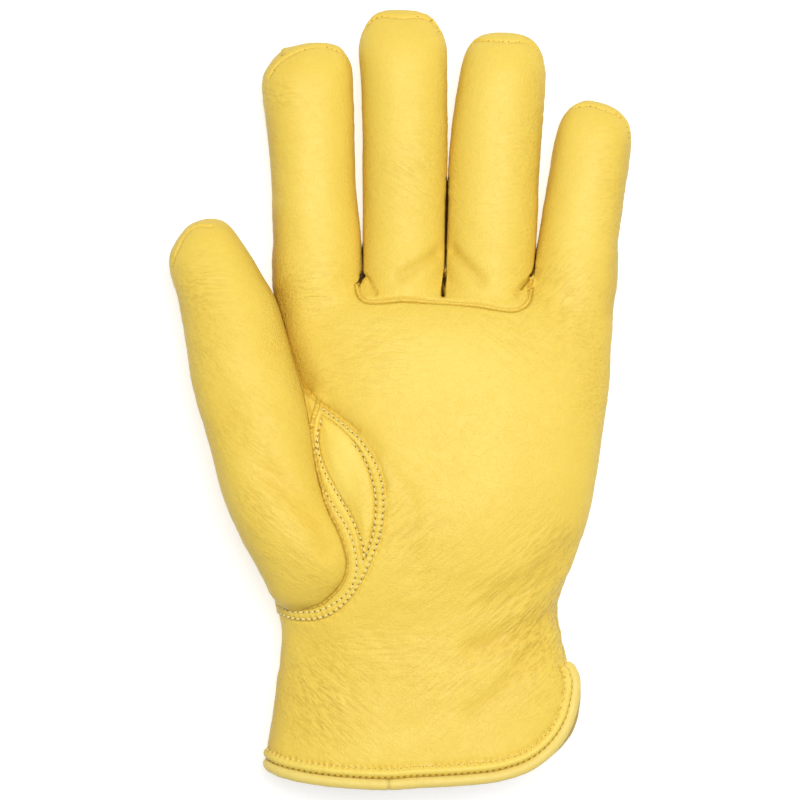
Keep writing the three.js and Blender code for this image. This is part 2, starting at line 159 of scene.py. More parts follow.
# The hem: y at each angle round the palm's section, from 0 on the little finger's side.
HEM = [
    (-90, -124.2), (-64, -122.2), (-50, -118.9), (-37.4, -112.2), (-30, -105),
    (-26.6, -97), (-24.6, -92), (-20, -88.8), (-17, -87.6), (-12, -86.8),
    (0, -86.4), (12, -86.8), (16.8, -87.6), (20, -88.8), (24.8, -92), (28.8, -96.8),
    (34, -104), (41.8, -111.2), (53, -118), (66, -121.6), (79, -123),
    (90, -123.7), (100, -124.5), (123, -123.5), (148, -121.4), (166, -119.6),
    (180, -118.8), (196, -119.8), (216, -121.6), (240, -123.2), (270, -124.2),
]

# Seam lines, as seen from above.
FINGER_SEAM = [
    (-14.5, 38.4), (-14.3, 36), (-13.2, 33.9), (-11, 32.8), (-6.3, 32.7), (0.7, 33.2),
    (13.3, 32.7), (24, 31.7), (31.1, 30.5), (35.8, 29.9), (39.5, 30.6), (41.8, 32.4),
    (42.8, 34.6), (43.1, 37.4),
]
GUSSET_EDGE = [
    (-26.4, -4.6), (-19.6, -9.6), (-13.4, -17), (-9.4, -28), (-8.9, -39),
    (-12.2, -52), (-15, -41.6), (-20.6, -31), (-25.8, -20.6), (-27.4, -12.6), (-26.4, -4.6),
]
# The thumb's band and gusset lie above this height.
WEB_HEIGHT = 18.0
# The fingers part above this y.
FINGER_ROOTS = 37.9
# How softly forms run into each other, how much more so at the fingers' roots, and how full
# those are.
SOFT_JOIN, SOFT_ROOTS, FULL_ROOTS = 0.4, 2.2, 0.6
# The boxes that hold the hand and the thumb while their surfaces are found.
HAND_BOX = (-58, -131, -3), (89, 133, 44)
THUMB_BOX = (-80, -72, 4), (-11, 63, 49)


def smoothstep(low, high, value):
    t = np.clip((value - low) / (high - low), 0, 1)
    return t * t * (3 - 2 * t)


def bell(value, width):
    """1 where the value is 0, and fading out over a width."""
    return np.exp(-((value / width) ** 2))


def curve_at(x, rows, slopes, at):
    """A smooth curve through a table's rows, from the slope at each row."""
    i = np.clip(np.searchsorted(x, at, side="right") - 1, 0, len(x) - 2)
    span = (x[i + 1] - x[i])[..., None]
    t = (at - x[i])[..., None] / span
    return (
        rows[i] * (1 + 2 * t) * (1 - t) ** 2
        + rows[i + 1] * t * t * (3 - 2 * t)
        + span * (slopes[i] * t * (1 - t) ** 2 - slopes[i + 1] * t * t * (1 - t))
    )


class Form:
    """A soft form drawn as sections along Y, on a smooth curve through its table's rows."""

    def __init__(self, rows, roundness, spread=0.0):
        table = np.array(sorted(rows), float)
        self.y, self.rows = table[:, 0], table[:, 1:]
        self.roundness, self.spread = roundness, spread
        place = np.arange(len(table))
        before, after = np.maximum(place - 1, 0), np.minimum(place + 1, len(table) - 1)
        rise = self.rows[after] - self.rows[before]
        self.slopes = rise / (self.y[after] - self.y[before])[:, None]

    def section(self, y):
        """The left, right, low and high ends of the section at y."""
        return curve_at(self.y, self.rows, self.slopes, np.clip(y, self.y[0], self.y[-1]))

    def halves(self, y):
        """The middle of the section at y, across and up, and its half width and half height."""
        left, right, low, high = np.moveaxis(self.section(y), -1, 0)
        return (left + right) / 2, (low + high) / 2, (right - left) / 2, (high - low) / 2

    def distance(self, x, y, z):
        """How far a point is outside the form, negative inside it."""
        middle, level, across, up = self.halves(y)
        n = self.roundness
        u = np.abs(x - self.spread * finger_spread(y) - middle) / across
        w = np.abs(z - level) / up
        reach = np.maximum(u**n + w**n, 1e-6) ** (1 / n)
        slope = np.hypot(u ** (n - 1) / across, w ** (n - 1) / up) * reach ** (1 - n)
        away = (reach - 1) / np.maximum(slope, 1e-3)
        return np.maximum(away, np.maximum(y - self.y[-1], self.y[0] - y))

    def rim(self, angle, y, inset=0.0):
        """The point of a section at an angle in degrees from +X towards +Z."""
        middle, level, across, up = self.halves(np.asarray(y, float))
        power = 2 / self.roundness
        c, s = math.cos(math.radians(angle)), math.sin(math.radians(angle))
        x = middle + (across - inset) * math.copysign(abs(c) ** power, c)
        z = level + (up - inset) * math.copysign(abs(s) ** power, s)
        return np.array([x, y, max(z, inset)])


def finger_spread(y):
    """The fingers are worked apart from each other, and closed again at the end."""
    return smoothstep(36, 54, y)


PALM_FORM = Form(PALM, PALM_ROUNDNESS)
THUMB_FORM = Form(THUMB, THUMB_ROUNDNESS)
FINGER_FORMS = [
    Form(INDEX, FINGER_ROUNDNESS, -7.5),
    Form(MIDDLE, FINGER_ROUNDNESS, -2.5),
    Form(RING, FINGER_ROUNDNESS, 2.5),
    Form(LITTLE, FINGER_ROUNDNESS, 7.5),
]


def hem_at(angle):
    """Where the leather is cut, for angles in degrees round the palm's section."""
    at = (np.asarray(angle, float) + 90) % 360 - 90
    x, y = np.array(HEM, float).T
    turns = np.concatenate([[x[-2] - 360], x, [x[1] + 360]])
    cuts = np.concatenate([[y[-2]], y, [y[1]]])
    slopes = (cuts[2:] - cuts[:-2]) / (turns[2:] - turns[:-2])
    return curve_at(x, y[:, None], slopes[:, None], at)[..., 0]


def angle_round_palm(points):
    middle, level, across, up = PALM_FORM.halves(points[:, 1])
    u, w = (points[:, 0] - middle) / across, (points[:, 2] - level) / up
    power = PALM_ROUNDNESS / 2
    return np.degrees(
        np.arctan2(np.sign(w) * np.abs(w) ** power, np.sign(u) * np.abs(u) ** power)
    )


def glove_distance(x, y, z):
    """The palm, the back and the four fingers as one form, the fingers full at their roots."""
    d = PALM_FORM.distance(x, y, z)
    soft = SOFT_JOIN + SOFT_ROOTS * (1 - smoothstep(38, 48, y))
    full = FULL_ROOTS * smoothstep(30, 38, y) * (1 - smoothstep(45, 53, y))
    for form in FINGER_FORMS:
        part = form.distance(x, y, z) - full
        near = np.maximum(soft - np.abs(d - part), 0) / soft
        d = np.minimum(d, part) - near * near * soft / 4
    return d


def finger_of(points):
    """Which finger's side of the gaps each point is on, while they are worked apart."""
    y, number = points[:, 1], np.zeros(len(points), int)
    for one, other in zip(FINGER_FORMS, FINGER_FORMS[1:]):
        between = (one.section(y)[:, 1] + other.section(y)[:, 0]) / 2
        between += finger_spread(y) * (one.spread + other.spread) / 2
        number += points[:, 0] > between
    return number


def close_fingers(points):
    """Brings the fingers back to their own places."""
    shift = np.array([form.spread for form in FINGER_FORMS])[finger_of(points)]
    closed = points.copy()
    closed[:, 0] -= shift * finger_spread(points[:, 1])
    return closed


def sums(index, values, count):
    """The sum of the rows of values for each number in an index."""
    return np.stack([np.bincount(index, values[:, k], minlength=count) for k in range(3)], axis=1)


def skin(distance, low, high, step):
    """Points and quads on a form's surface, from its distances on an even grid."""
    axes = [np.arange(a, b + step, step) for a, b in zip(low, high)]
    x, y, z = axes[0][:, None, None], axes[1][None, :, None], axes[2][None, None, :]
    field = distance(x, y, z)
    cells = np.array(field.shape) - 1
    total, count = np.zeros((np.prod(cells), 3)), np.zeros(np.prod(cells))
    rings = []
    for axis in range(3):
        u, v = (axis + 1) % 3, (axis + 2) % 3
        one = field[tuple(slice(0, -1) if k == axis else slice(None) for k in range(3))]
        two = field[tuple(slice(1, None) if k == axis else slice(None) for k in range(3))]
        edge = np.argwhere((one < 0) != (two < 0))
        a, b = one[tuple(edge.T)], two[tuple(edge.T)]
        crossing = edge.astype(float)
        crossing[:, axis] += a / (a - b)
        around = np.empty((len(edge), 4), int)
        whole = np.ones(len(edge), bool)
        for corner, (du, dv) in enumerate([(0, 0), (-1, 0), (-1, -1), (0, -1)]):
            cell = edge.copy()
            cell[:, u] += du
            cell[:, v] += dv
            inside = np.all((cell >= 0) & (cell < cells), axis=1)
            index = np.ravel_multi_index(np.clip(cell, 0, cells - 1).T, cells)
            total += sums(index[inside], crossing[inside], len(count))
            count += np.bincount(index[inside], minlength=len(count))
            around[:, corner] = index
            whole &= inside
        around[a > b] = around[a > b][:, ::-1]
        rings.append(around[whole])
    used = np.flatnonzero(count)
    number = np.full(len(count), -1)
    number[used] = np.arange(len(used))
    points = total[used] / count[used, None] * step + np.array([a[0] for a in axes])
    return points, number[np.vstack(rings)]


def settle(points, distance, rounds=3):
    """Moves points onto the form's surface."""
    for _ in range(rounds):
        x, y, z = points.T
        d, e = distance(x, y, z), 0.05
        slope = np.stack(
            [
                distance(x + e, y, z) - distance(x - e, y, z),
                distance(x, y + e, z) - distance(x, y - e, z),
                distance(x, y, z + e) - distance(x, y, z - e),
            ],
            axis=1,
        ) / (2 * e)
        move = d[:, None] * slope / np.maximum((slope**2).sum(1), 0.2)[:, None]
        points = points - np.clip(move, -0.5, 0.5)
    return points


def edges_of(faces):
    pairs = np.vstack([faces[:, [k, (k + 1) % faces.shape[1]]] for k in range(faces.shape[1])])
    return np.unique(np.sort(pairs, axis=1), axis=0)


def relax(points, edges, share, rounds):
    """Moves each point a share of the way to the middle of its neighbours."""
    degree = np.bincount(edges.ravel(), minlength=len(points))[:, None]
    for _ in range(rounds):
        total = np.zeros_like(points)
        for a, b in ((0, 1), (1, 0)):
            total += sums(edges[:, a], points[edges[:, b]], len(points))
        points = points + share[:, None] * (total / np.maximum(degree, 1) - points)
    return points


def normals_of(points, faces):
    diagonal = np.cross(
        points[faces[:, 2]] - points[faces[:, 0]], points[faces[:, 3]] - points[faces[:, 1]]
    )
    total = np.zeros_like(points)
    for corner in range(4):
        total += sums(faces[:, corner], diagonal, len(points))
    return total / np.maximum(np.linalg.norm(total, axis=1), 1e-9)[:, None]


def lengths_along(line):
    """How far along a line each of its points is."""
    return np.concatenate([[0], np.cumsum(np.linalg.norm(np.diff(line, axis=0), axis=1))])


def smooth_line(points, step):
    """An even line of points through the given ones."""
    given = np.array(points, float)
    padded = np.vstack([2 * given[0] - given[1], given, 2 * given[-1] - given[-2]])
    line = []
    for a, b, c, d in zip(padded, padded[1:], padded[2:], padded[3:]):
        first, second, third = c - a, 2 * a - 5 * b + 4 * c - d, 3 * b - a - 3 * c + d
        for t in np.linspace(0, 1, 24, endpoint=False):
            line.append(0.5 * (2 * b + first * t + second * t * t + third * t**3))
    line = np.array(line + [given[-1]])
    length = lengths_along(line)
    at = np.linspace(0, length[-1], max(int(round(length[-1] / step)), 2) + 1)
    return np.stack([np.interp(at, length, line[:, k]) for k in range(line.shape[1])], axis=1)


def inside_outline(outline, x, y):
    inside = np.zeros(np.shape(x), bool)
    for (ax, ay), (bx, by) in zip(outline, np.roll(outline, -1, axis=0)):
        crosses = (ay > y) != (by > y)
        inside ^= crosses & (x < (bx - ax) * (y - ay) / (by - ay + 1e-12) + ax)
    return inside


def distance_to_line(points, line):
    """The distance from each point to a line, the nearest point of it, and how far along it is."""
    best = np.full(len(points), np.inf)
    nearest, along = np.zeros_like(points), np.zeros(len(points))
    start = 0.0
    for a, b in zip(line, line[1:]):
        ab = b - a
        t = np.clip((points - a) @ ab / max(ab @ ab, 1e-12), 0, 1)
        foot = a + t[:, None] * ab
        d = np.linalg.norm(points - foot, axis=1)
        closer = d < best
        best[closer], nearest[closer] = d[closer], foot[closer]
        length = math.sqrt(ab @ ab)
        along[closer] = start + t[closer] * length
        start += length
    return best, nearest, along


def near_line(points, line, reach):
    """The numbers of the points that may be within reach of a line."""
    low, high = line.min(0) - reach, line.max(0) + reach
    return np.flatnonzero(np.all((points > low) & (points < high), axis=1))


def distances(points, line, reach, far=None):
    """Each point's distance from a line, given as far where it is out of reach."""
    away = np.full(len(points), float(reach if far is None else far))
    rows = near_line(points, line, reach)
    if len(rows):
        away[rows] = distance_to_line(points[rows], line)[0]
    return away


# The seams over the fingertips, as seen from above.
TIP_SEAMS = {
    "index": [
        (-43.6, 107.4), (-41.4, 111), (-39.3, 113), (-36.7, 114.6), (-33.8, 116),
        (-29.5, 117.4), (-25, 117.6), (-21, 116.2),
    ],
    "middle": [
        (-11.6, 124.4), (-9, 127.2), (-5.7, 127.9), (-3, 127.6), (0.7, 127.4),
        (4.9, 127.7), (8.2, 127.4), (11.4, 125.6), (13.2, 122.4),
    ],
    "ring": [
        (22.6, 117.4), (24.8, 119.6), (28.3, 119.6), (34.9, 119.2), (39.6, 119.2),
        (43.4, 118.4), (46, 116.2),
    ],
    "little": [
        (58.6, 97.6), (62.5, 98), (68.1, 96.5), (71.9, 95), (74.4, 92.9), (75.9, 90),
        (76.4, 86.6),
    ],
}
# The end of the thumb seam's turned edge, standing up beside the thumb.
SEAM_END = [(-27.2, 0.6), (-27.6, -2), (-28.6, -5.4), (-29.6, -9.2)]
THUMB_TIP_SEAM = [
    (-76, 45), (-74.2, 49.7), (-72.3, 53.6), (-70.2, 56.3), (-67, 57.8), (-62.6, 57.6),
]
# The rows of stitches on the thumb's band, as seen from above.
ROWS = {
    "row_outer": [
        (-26.5, -2.3), (-20.1, -6.8), (-15.1, -11.2), (-12.4, -14.6), (-9.7, -18.6), (-7.4, -23.4),
        (-6.2, -28.7), (-5.9, -35.3), (-6.5, -41.3), (-7.9, -46.9), (-10, -52.4), (-12.3, -57.5),
        (-15, -62.2), (-18.6, -66.8), (-23.4, -70.4), (-28.4, -72.1), (-34, -72.3),
        (-38.3, -71.4), (-41.6, -69.8),
    ],
    "row_gusset_right": [
        (-15.8, -14), (-13, -17.9), (-10.2, -23.6), (-8.5, -29.5), (-8.2, -35.5),
        (-8.7, -42), (-10.1, -46.9), (-11.9, -51.6),
    ],
    "row_gusset_left": [
        (-26.4, -6.4), (-27.6, -14), (-25.6, -22.6), (-22.6, -28.2), (-19.9, -32.6),
        (-16.6, -38), (-13.9, -44.2), (-12.3, -48.8), (-12.6, -53.4),
    ],
    "row_inner": [
        (-27.8, -12), (-28, -17), (-27.5, -22), (-26.2, -27.4), (-23.8, -32.2),
        (-20.7, -37.2), (-17.3, -43), (-15.3, -48.8),
        (-14.6, -54.2), (-15.4, -59.6), (-18.2, -64), (-23.2, -67.7), (-28.6, -69.8),
        (-34.4, -70), (-38.8, -69.2), (-42.2, -67.4),
    ],
}


def moved_line(line, offset):
    """A line drawn from above, moved to the left of its own direction."""
    line = np.array(line, float)
    ahead = np.vstack([line[1:], line[-1:]]) - np.vstack([line[:1], line[:-1]])
    ahead /= np.linalg.norm(ahead, axis=1)[:, None]
    return [tuple(p) for p in line + offset * np.stack([-ahead[:, 1], ahead[:, 0]], axis=1)]


# The band's edge runs just outside its outer row of stitches, and the rest of it is under the
# thumb.
BAND_EDGE = [(-33.5, 3.6), (-30, 0.8)] + moved_line(ROWS["row_outer"], 0.45) + [(-46, -67.6)]
BAND_BEHIND = [(-90, -67.6), (-90, 3.6)]
# Where two fingers press on each other below the gap between them, with depth and width.
SPLITS = {
    "index_split": ([(-12.7, 50), (-12.7, 45), (-12.9, 41), (-14.2, 38.4)], 2.2, 0.42),
    "middle_split": (
        [(15.4, 73), (15, 60), (14.8, 50), (14.4, 41), (13.9, 34.9)], 2.6, 0.42
    ),
    "ring_split": ([(45, 51), (44.4, 46), (43.6, 41), (42.9, 37)], 2, 0.42),
}
# Shadowed places, as seen from above: the line, its width and how dark it is.
SHADOWS = [
    ([(-12.75, 52), (-12.7, 45), (-12.9, 41.6)], 0.5, 1),
    ([(-13, 42.6), (-13.2, 40.4)], 0.9, 1),
    ([(-13.4, 40.8), (-14.4, 38.8)], 0.4, 0.6),
    ([(15.4, 74), (15, 60), (14.8, 50), (14.6, 44)], 0.45, 1),
    ([(14.6, 45), (14.4, 41), (14, 35.4)], 0.42, 1),
    ([(14, 36), (14, 34.8)], 0.75, 1),
    ([(45.1, 52), (44.5, 46), (43.8, 41.6)], 0.5, 1),
    ([(43.8, 41.8), (42.2, 39.4), (40, 36.8)], 0.5, 0.7),
    ([(-43.8, 92), (-43.6, 74), (-43.4, 58)], 2.6, 0.14),
    ([(-44, 62), (-43.4, 48), (-42.8, 36)], 3.4, 0.4),
    ([(-24, -1.5), (-17, -6.5), (-11, -13), (-7, -20), (-4.4, -28)], 1.8, 0.16),
    ([(-42, -82), (-43.5, -98), (-45.4, -116)], 3.6, 0.2),
    ([(70, 30), (73.5, 60), (76, 84)], 3, 0.16),
    ([(-42.6, 36), (-39.8, 27), (-36.8, 16), (-34.4, 9), (-31.8, 3.8)], 2.2, 0.5),
    ([(-40.5, 37), (-37.6, 24), (-34.4, 14), (-31, 6)], 4.2, 0.36),
]
# Broad folds and fine ones: the line, its depth, its width and how dark it is painted, as
# shade in its hollow.
CREASES = [
    ([(12.3, 48.5), (6, 44.5), (-0.3, 40.8)], 1.2, 2.2, 0.1),
    ([(17, 49.5), (21.5, 44.5), (26.3, 39.5)], 1.2, 2.2, 0.1),
    ([(-13, 41.4), (-11.6, 40.9), (-10.6, 39.2), (-9.6, 37), (-8.4, 35.2)], 0.8, 0.7, 0.16),
    ([(43.4, 41.4), (41.6, 39.4), (39.6, 37.2), (38.2, 34.8)], 0.8, 0.7, 0.2),
    ([(-44, 34), (-41, 26), (-38, 16), (-35.6, 9), (-33, 2.4)], 1, 2.6, 0),
    ([(-31, 3), (-27, -1.4), (-22, -4.9), (-15, -10.4)], 0.9, 1.4, 0.16),
    ([(-30.5, 5.5), (-22, -2), (-14, -9), (-8, -17)], 0.8, 3, 0),
    ([(54, -69), (45, -73.5), (33, -78.5), (24, -82)], 1.2, 4, 0.07),
    ([(47, -80), (41, -87), (34, -95), (24, -103)], 1, 4, 0.05),
    ([(56, -48), (50, -54), (42, -60), (30, -67)], 0.8, 4.5, 0.05),
    ([(-41, -70), (-34, -78), (-24, -84)], 0.45, 4, 0),
    ([(-39, 116.6), (-36.6, 118.2), (-33.6, 119.2), (-30.6, 119.2)], -0.7, 0.8, 0.1),
    ([(-41, 115.4), (-39.4, 114.8)], 0.6, 0.5, 0.2),
    ([(-3, -40), (4, -50), (6, -60)], 0.35, 4, 0),
    ([(-4, -22), (2, -30), (4, -42)], 0.4, 2.4, 0),
]
# Patches of wrinkles: middle x and y, half lengths along and across the creases, their turn in
# degrees, the distance between them, their depth, and the side (1 palm, -1 back).
WRINKLES = [
    (-40, 100.5, 9, 6, -14, 1.3, 0.25, 1),
    (-37, 62, 9, 34, 8, 3.2, 0.12, 1),
    (-30, 36, 14, 14, 12, 2.6, 0.24, 1),
    (-26, 6, 16, 9, 20, 2.6, 0.2, 1),
    (-10, 14, 24, 16, 20, 3, 0.2, 1),
    (5, 74, 15, 16, -24, 3.4, 0.2, 1),
    (10, 92, 12, 20, -10, 3, 0.14, 1),
    (42, 84, 9, 30, -14, 2.6, 0.18, 1),
    (30, 58, 14, 20, 10, 3.2, 0.14, 1),
    (71, 66, 9, 32, 6, 2.8, 0.2, 1),
    (52, 34, 18, 18, 38, 3, 0.22, 1),
    (64, 10, 10, 36, 12, 3, 0.22, 1),
    (-8, 24, 20, 9, 28, 2.8, 0.14, 1),
    (34, 22, 20, 9, 150, 3, 0.18, 1),
    (-22, 3, 14, 8, 10, 2.4, 0.14, 1),
    (2, -44, 14, 20, 58, 3.2, 0.24, 1),
    (44, -76, 22, 26, 36, 3.4, 0.32, 1),
    (50, -52, 16, 18, 34, 3, 0.26, 1),
    (18, -90, 30, 20, 34, 3.8, 0.2, 1),
    (10, -62, 26, 12, 28, 3.2, 0.16, 1),
    (-26, -98, 22, 18, -62, 3.6, 0.28, 1),
    (-10, -82, 26, 12, -10, 4, 0.2, 1),
    (0, 40, 46, 14, 0, 3.6, 0.22, -1),
    (10, -20, 44, 50, 8, 5, 0.2, -1),
    (-28, 92, 14, 12, 0, 2.6, 0.3, -1),
    (1, 100, 14, 12, 0, 2.6, 0.3, -1),
    (32, 92, 14, 12, 0, 2.6, 0.3, -1),
    (62, 72, 13, 12, 0, 2.6, 0.3, -1),
]
# The same for the thumb.
THUMB_WRINKLES = [
    (-68, 36, 12, 14, -18, 2.6, 0.26, 1),
    (-64, 14, 12, 20, -30, 3, 0.2, 1),
    (-44, -34, 20, 14, -32, 3.2, 0.24, 1),
    (-32, -54, 16, 10, -28, 2.8, 0.22, 1),
    (-54, -10, 16, 20, -40, 3.6, 0.2, 1),
]
# The thumb's broad folds: the line, its depth and its width.
THUMB_CREASES = [
    ([(-44, -24), (-36, -30), (-28, -40), (-24, -48)], 1.2, 4.5),
    ([(-60, 4), (-52, -12), (-42, -26)], 0.5, 5),
]
# The gathered back of the wrist: y of its elastic, how far it reaches, and its puckers.
GATHER = {"y": -73, "left": -32, "right": 42, "depth": 1.5, "pitch": 4.2}
# How the seams are pressed in: depth, width, how dark the groove is painted as shade, the
# ripple of their stitches, its pitch.
PRESSES = {
    "row": (0.3, 0.7, 0.06, 0.8),
    "finger_seam": (0.5, 0.9),
    "tip_seam": (0.7, 0.55, 0.12, 0.1),
    "gusset_edge": (0.45, 0.45, 0.16),
    "outer_seam": (0.35, 0.5, 0.12, 0.3),
    "thumb_seam": (0.4, 0.75, 0.7, 0.35, 1.7),
    "under_thumb": (0.25, 0.8, 0.6),
}
# The fine lines of painted shade along both sides of the finger seam: how far from it, how dark,
# and their ripple.
FINGER_SEAM_SIDES = ((-0.62, 0.5, 0.3), (0.6, 0.14, 0.1))
FINGER_SEAM_LINE = (0.3, 0.32)
# The stitched band round the cuff: its width, its row's distance from the cut edge, and between
# which y it ends at the vent.
HEM_BAND, HEM_ROW, VENT_FADE = 3.3, 3.4, (-89.5, -86.0)
STITCH_PITCH, FINE_PITCH = 2.1, 1.9
# Far enough from a line to be no part of its relief.
FAR = 9.0
# How many of its widths away a pressed line still shows.
FADE = 2.6
# Directions of the finest creases, in degrees, and the patches of pebbled grain: middle x and y,
# half width and height, and strength.
CREASE_TURNS = {"crease_level": 0, "crease_rising": 40, "crease_falling": -36, "crease_upright": 82}
PEBBLES = [
    (-42, 74, 5, 30, 0.5), (-40, 34, 7, 26, 0.9), (-34, 12, 5, 12, 0.9),
    (45, 104, 5, 16, 0.7), (44, 60, 5, 20, 0.4), (40, -96, 16, 16, 0.14),
    (-34, -106, 14, 16, 0.34), (20, -70, 26, 22, 0.16), (64, 10, 8, 40, 0.3),
    (-66, 10, 12, 30, 0.3), (-40, -50, 16, 16, 0.3), (2, 60, 20, 40, 0.2),
    (28, 10, 30, 24, 0.2),
]
# Painted highlights, paler and whiter on smooth leather facing up: middle x and y, half width and
# height, and strength.
PAINTED_HIGHLIGHTS = [
    (14, 14, 24, 16, 0.6), (-19, -22, 5, 14, 0.9), (-30, 70, 6, 34, 0.35),
    (0, 80, 8, 34, 0.3), (30, 84, 8, 30, 0.35), (60, 60, 8, 34, 0.4),
    (-6, 24, 14, 7, 0.4), (34, -8, 20, 26, 0.2),
]


def patches_at(points, patches):
    """How strongly the strongest patch shows at each point."""
    share = np.zeros(len(points))
    for x, y, wide, high, strength in patches:
        near = ((points[:, 0] - x) / wide) ** 2 + ((points[:, 1] - y) / high) ** 2
        share = np.maximum(share, strength * np.exp(-near))
    return share


def over_patch(points, x, y, turn):
    """How far points are from a patch's middle, along and across its creases."""
    c, s = math.cos(math.radians(turn)), math.sin(math.radians(turn))
    right, ahead = points[:, 0] - x, points[:, 1] - y
    return right * c + ahead * s, ahead * c - right * s


def fine_creases(points, normals, patches):
    """How strongly the finest creases show at each point, by their direction."""
    shares = {name: np.zeros(len(points)) for name in CREASE_TURNS}
    for x, y, along, across, turn, _, depth, side in patches:
        u, v = over_patch(points, x, y, turn)
        share = np.exp(-1.3 * ((u / along) ** 2 + (v / across) ** 2))
        share *= smoothstep(-0.5, 0.1, normals[:, 2] * side) * min(depth * 3.2, 1) ** 2
        name = min(CREASE_TURNS, key=lambda k: abs((CREASE_TURNS[k] - turn + 90) % 180 - 90))
        shares[name] = np.maximum(shares[name], share)
    shares["pebble"] = patches_at(points, PEBBLES)
    # Painted highlights on smooth places that face up.
    shares["pale"] = patches_at(points, PAINTED_HIGHLIGHTS) * smoothstep(0, 0.6, normals[:, 2])
    return shares


def wrinkle_relief(points, normals, patches):
    """Fine creases that run together and fade out at the edge of their patch."""
    height = np.zeros(len(points))
    for x, y, along, across, turn, pitch, depth, side in patches:
        u, v = over_patch(points, x, y, turn)
        near = (u / along) ** 2 + (v / across) ** 2
        rows = np.flatnonzero((near < 4) & (normals[:, 2] * side > -0.5))
        fade = np.exp(-1.1 * near[rows]) * smoothstep(-0.5, 0.1, normals[rows, 2] * side)
        for k, share in zip(rows, fade):
            a, b = u[k] / (pitch * 4.2), v[k] / pitch
            bend = noise.noise(Vector((a * 0.7, b * 0.25, 7.0 + x)))
            ridge = 1 - abs(noise.noise(Vector((a, b + 1.4 * bend, x * 0.3 + y)))) * 2.6
            height[k] -= depth * share * max(ridge, -0.4)
    return height


def soft_relief(points):
    """The slight unevenness of stuffed leather."""
    height = np.empty(len(points))
    for k, (x, y, z) in enumerate(points):
        broad = noise.noise(Vector((x / 26, y / 34, z / 26)))
        small = noise.noise(Vector((x / 8.5, y / 9.5, z / 8.5 + 40)))
        height[k] = 0.55 * broad + 0.16 * small
    return height


class Skin:
    """Leather worked into relief: points, faces, their normals, and each point's painted shade."""

    def __init__(self, points, faces):
        self.points, self.faces = points, faces
        self.normals = normals_of(points, faces)
        self.height = np.zeros(len(points))
        self.shade = np.zeros(len(points))
        self.tree = BVHTree.FromPolygons(points.tolist(), faces.tolist())

    def drape(self, line, side=1):
        """Lays a line drawn from above onto the skin, from the palm's side or the back's."""
        laid = []
        for x, y in smooth_line(line, 0.8):
            hit = self.tree.ray_cast(Vector((x, y, 90 * side)), Vector((0, 0, -side)))[0]
            if hit:
                laid.append(hit)
        return np.array(laid)

    def press(
        self, line, depth, width, dark=0.0, ripple=0.0, pitch=STITCH_PITCH, level=False
    ):
        """Presses a line in, with a ripple along it where stitches pull the leather, and only where
        the leather lies level if asked."""
        rows = near_line(self.points, line, FADE * width)
        if not len(rows):
            return
        distance, _, along = distance_to_line(self.points[rows], line)
        share = bell(distance, width)
        wave = 1 + ripple * np.cos(along * (2 * math.pi / pitch))
        flat = smoothstep(0.05, 0.5, self.normals[rows, 2]) if level else 1
        self.height[rows] -= depth * share * wave * flat
        # dark paints shade into the pressed groove.
        self.shade[rows] = np.maximum(self.shade[rows], dark * share)

    def darken(self, line, width, dark):
        """Shadows what is seen from above near a line, however deep it lies."""
        line = np.array([(x, y, 0.0) for x, y in smooth_line(line, 0.6)])
        flat = self.points * (1, 1, 0)
        rows = near_line(flat, line, FADE * width)
        away = distance_to_line(flat[rows], line)[0]
        share = dark * bell(away, width) * smoothstep(4, 8, self.points[rows, 2])
        self.shade[rows] = np.maximum(self.shade[rows], share)

    def note_finish(self, patches, narrow):
        """Notes the painted shade in its hollows, its fine creases, pebbles and painted highlights, and
        where its wall is thinner, because the form has little room for it near some narrow places."""
        # The deeper a point is pressed in, the more painted shade it gets.
        self.fold = np.clip(-self.height * 0.4, 0, 1)
        self.creases = fine_creases(self.points, self.normals, patches)
        self.thin = np.zeros(len(self.points))
        for line in narrow:
            away = distances(self.points, line, 8.0)
            self.thin = np.maximum(self.thin, 0.72 * (1 - smoothstep(3, 8, away)))

    def work(self):
        """Puts the relief into the points, and keeps what lies on the table flat."""
        lying = 1 - smoothstep(0.2, 2.4, self.points[:, 2])
        lying *= self.normals[:, 2] < 0
        self.points = self.points + self.normals * (self.height * (1 - 0.85 * lying))[:, None]
        self.points[:, 2] = np.maximum(self.points[:, 2], 0.0)
        self.normals = normals_of(self.points, self.faces)
        self.tree = BVHTree.FromPolygons(self.points.tolist(), self.faces.tolist())


def corners_of(faces):
    """Faces as lists of their corners, where a triangle is kept as four with its last one twice."""
    return [face[:3] if face[2] == face[3] else face for face in faces.tolist()]


def fours_of(corners):
    """The other way round: lists of corners as rows of four."""
    return np.array([c if len(c) == 4 else c + c[-1:] for c in corners])


def refine(points, faces, marks, lines, reach):
    """Halves the faces near some lines, so that fine relief fits there, and keeps their marks."""
    mesh = bpy.data.meshes.new("work")
    mesh.from_pydata(points.tolist(), [], corners_of(faces))
    bm = bmesh.new()
    bm.from_mesh(mesh)
    bpy.data.meshes.remove(mesh)
    layer = bm.faces.layers.int.new("mark")
    for face, mark in zip(bm.faces, marks):
        face[layer] = int(mark)
    near = np.zeros(len(points), bool)
    for line in lines:
        near |= distances(points, line, reach) < reach
    edges = [e for e in bm.edges if near[e.verts[0].index] and near[e.verts[1].index]]
    bmesh.ops.subdivide_edges(bm, edges=edges, cuts=1, use_grid_fill=True)
    bmesh.ops.triangulate(bm, faces=[f for f in bm.faces if len(f.verts) > 4])
    fine = np.array([v.co[:] for v in bm.verts])
    corners = [[v.index for v in f.verts] for f in bm.faces]
    marks = np.array([f[layer] for f in bm.faces])
    bm.free()
    return fine, fours_of(corners), marks


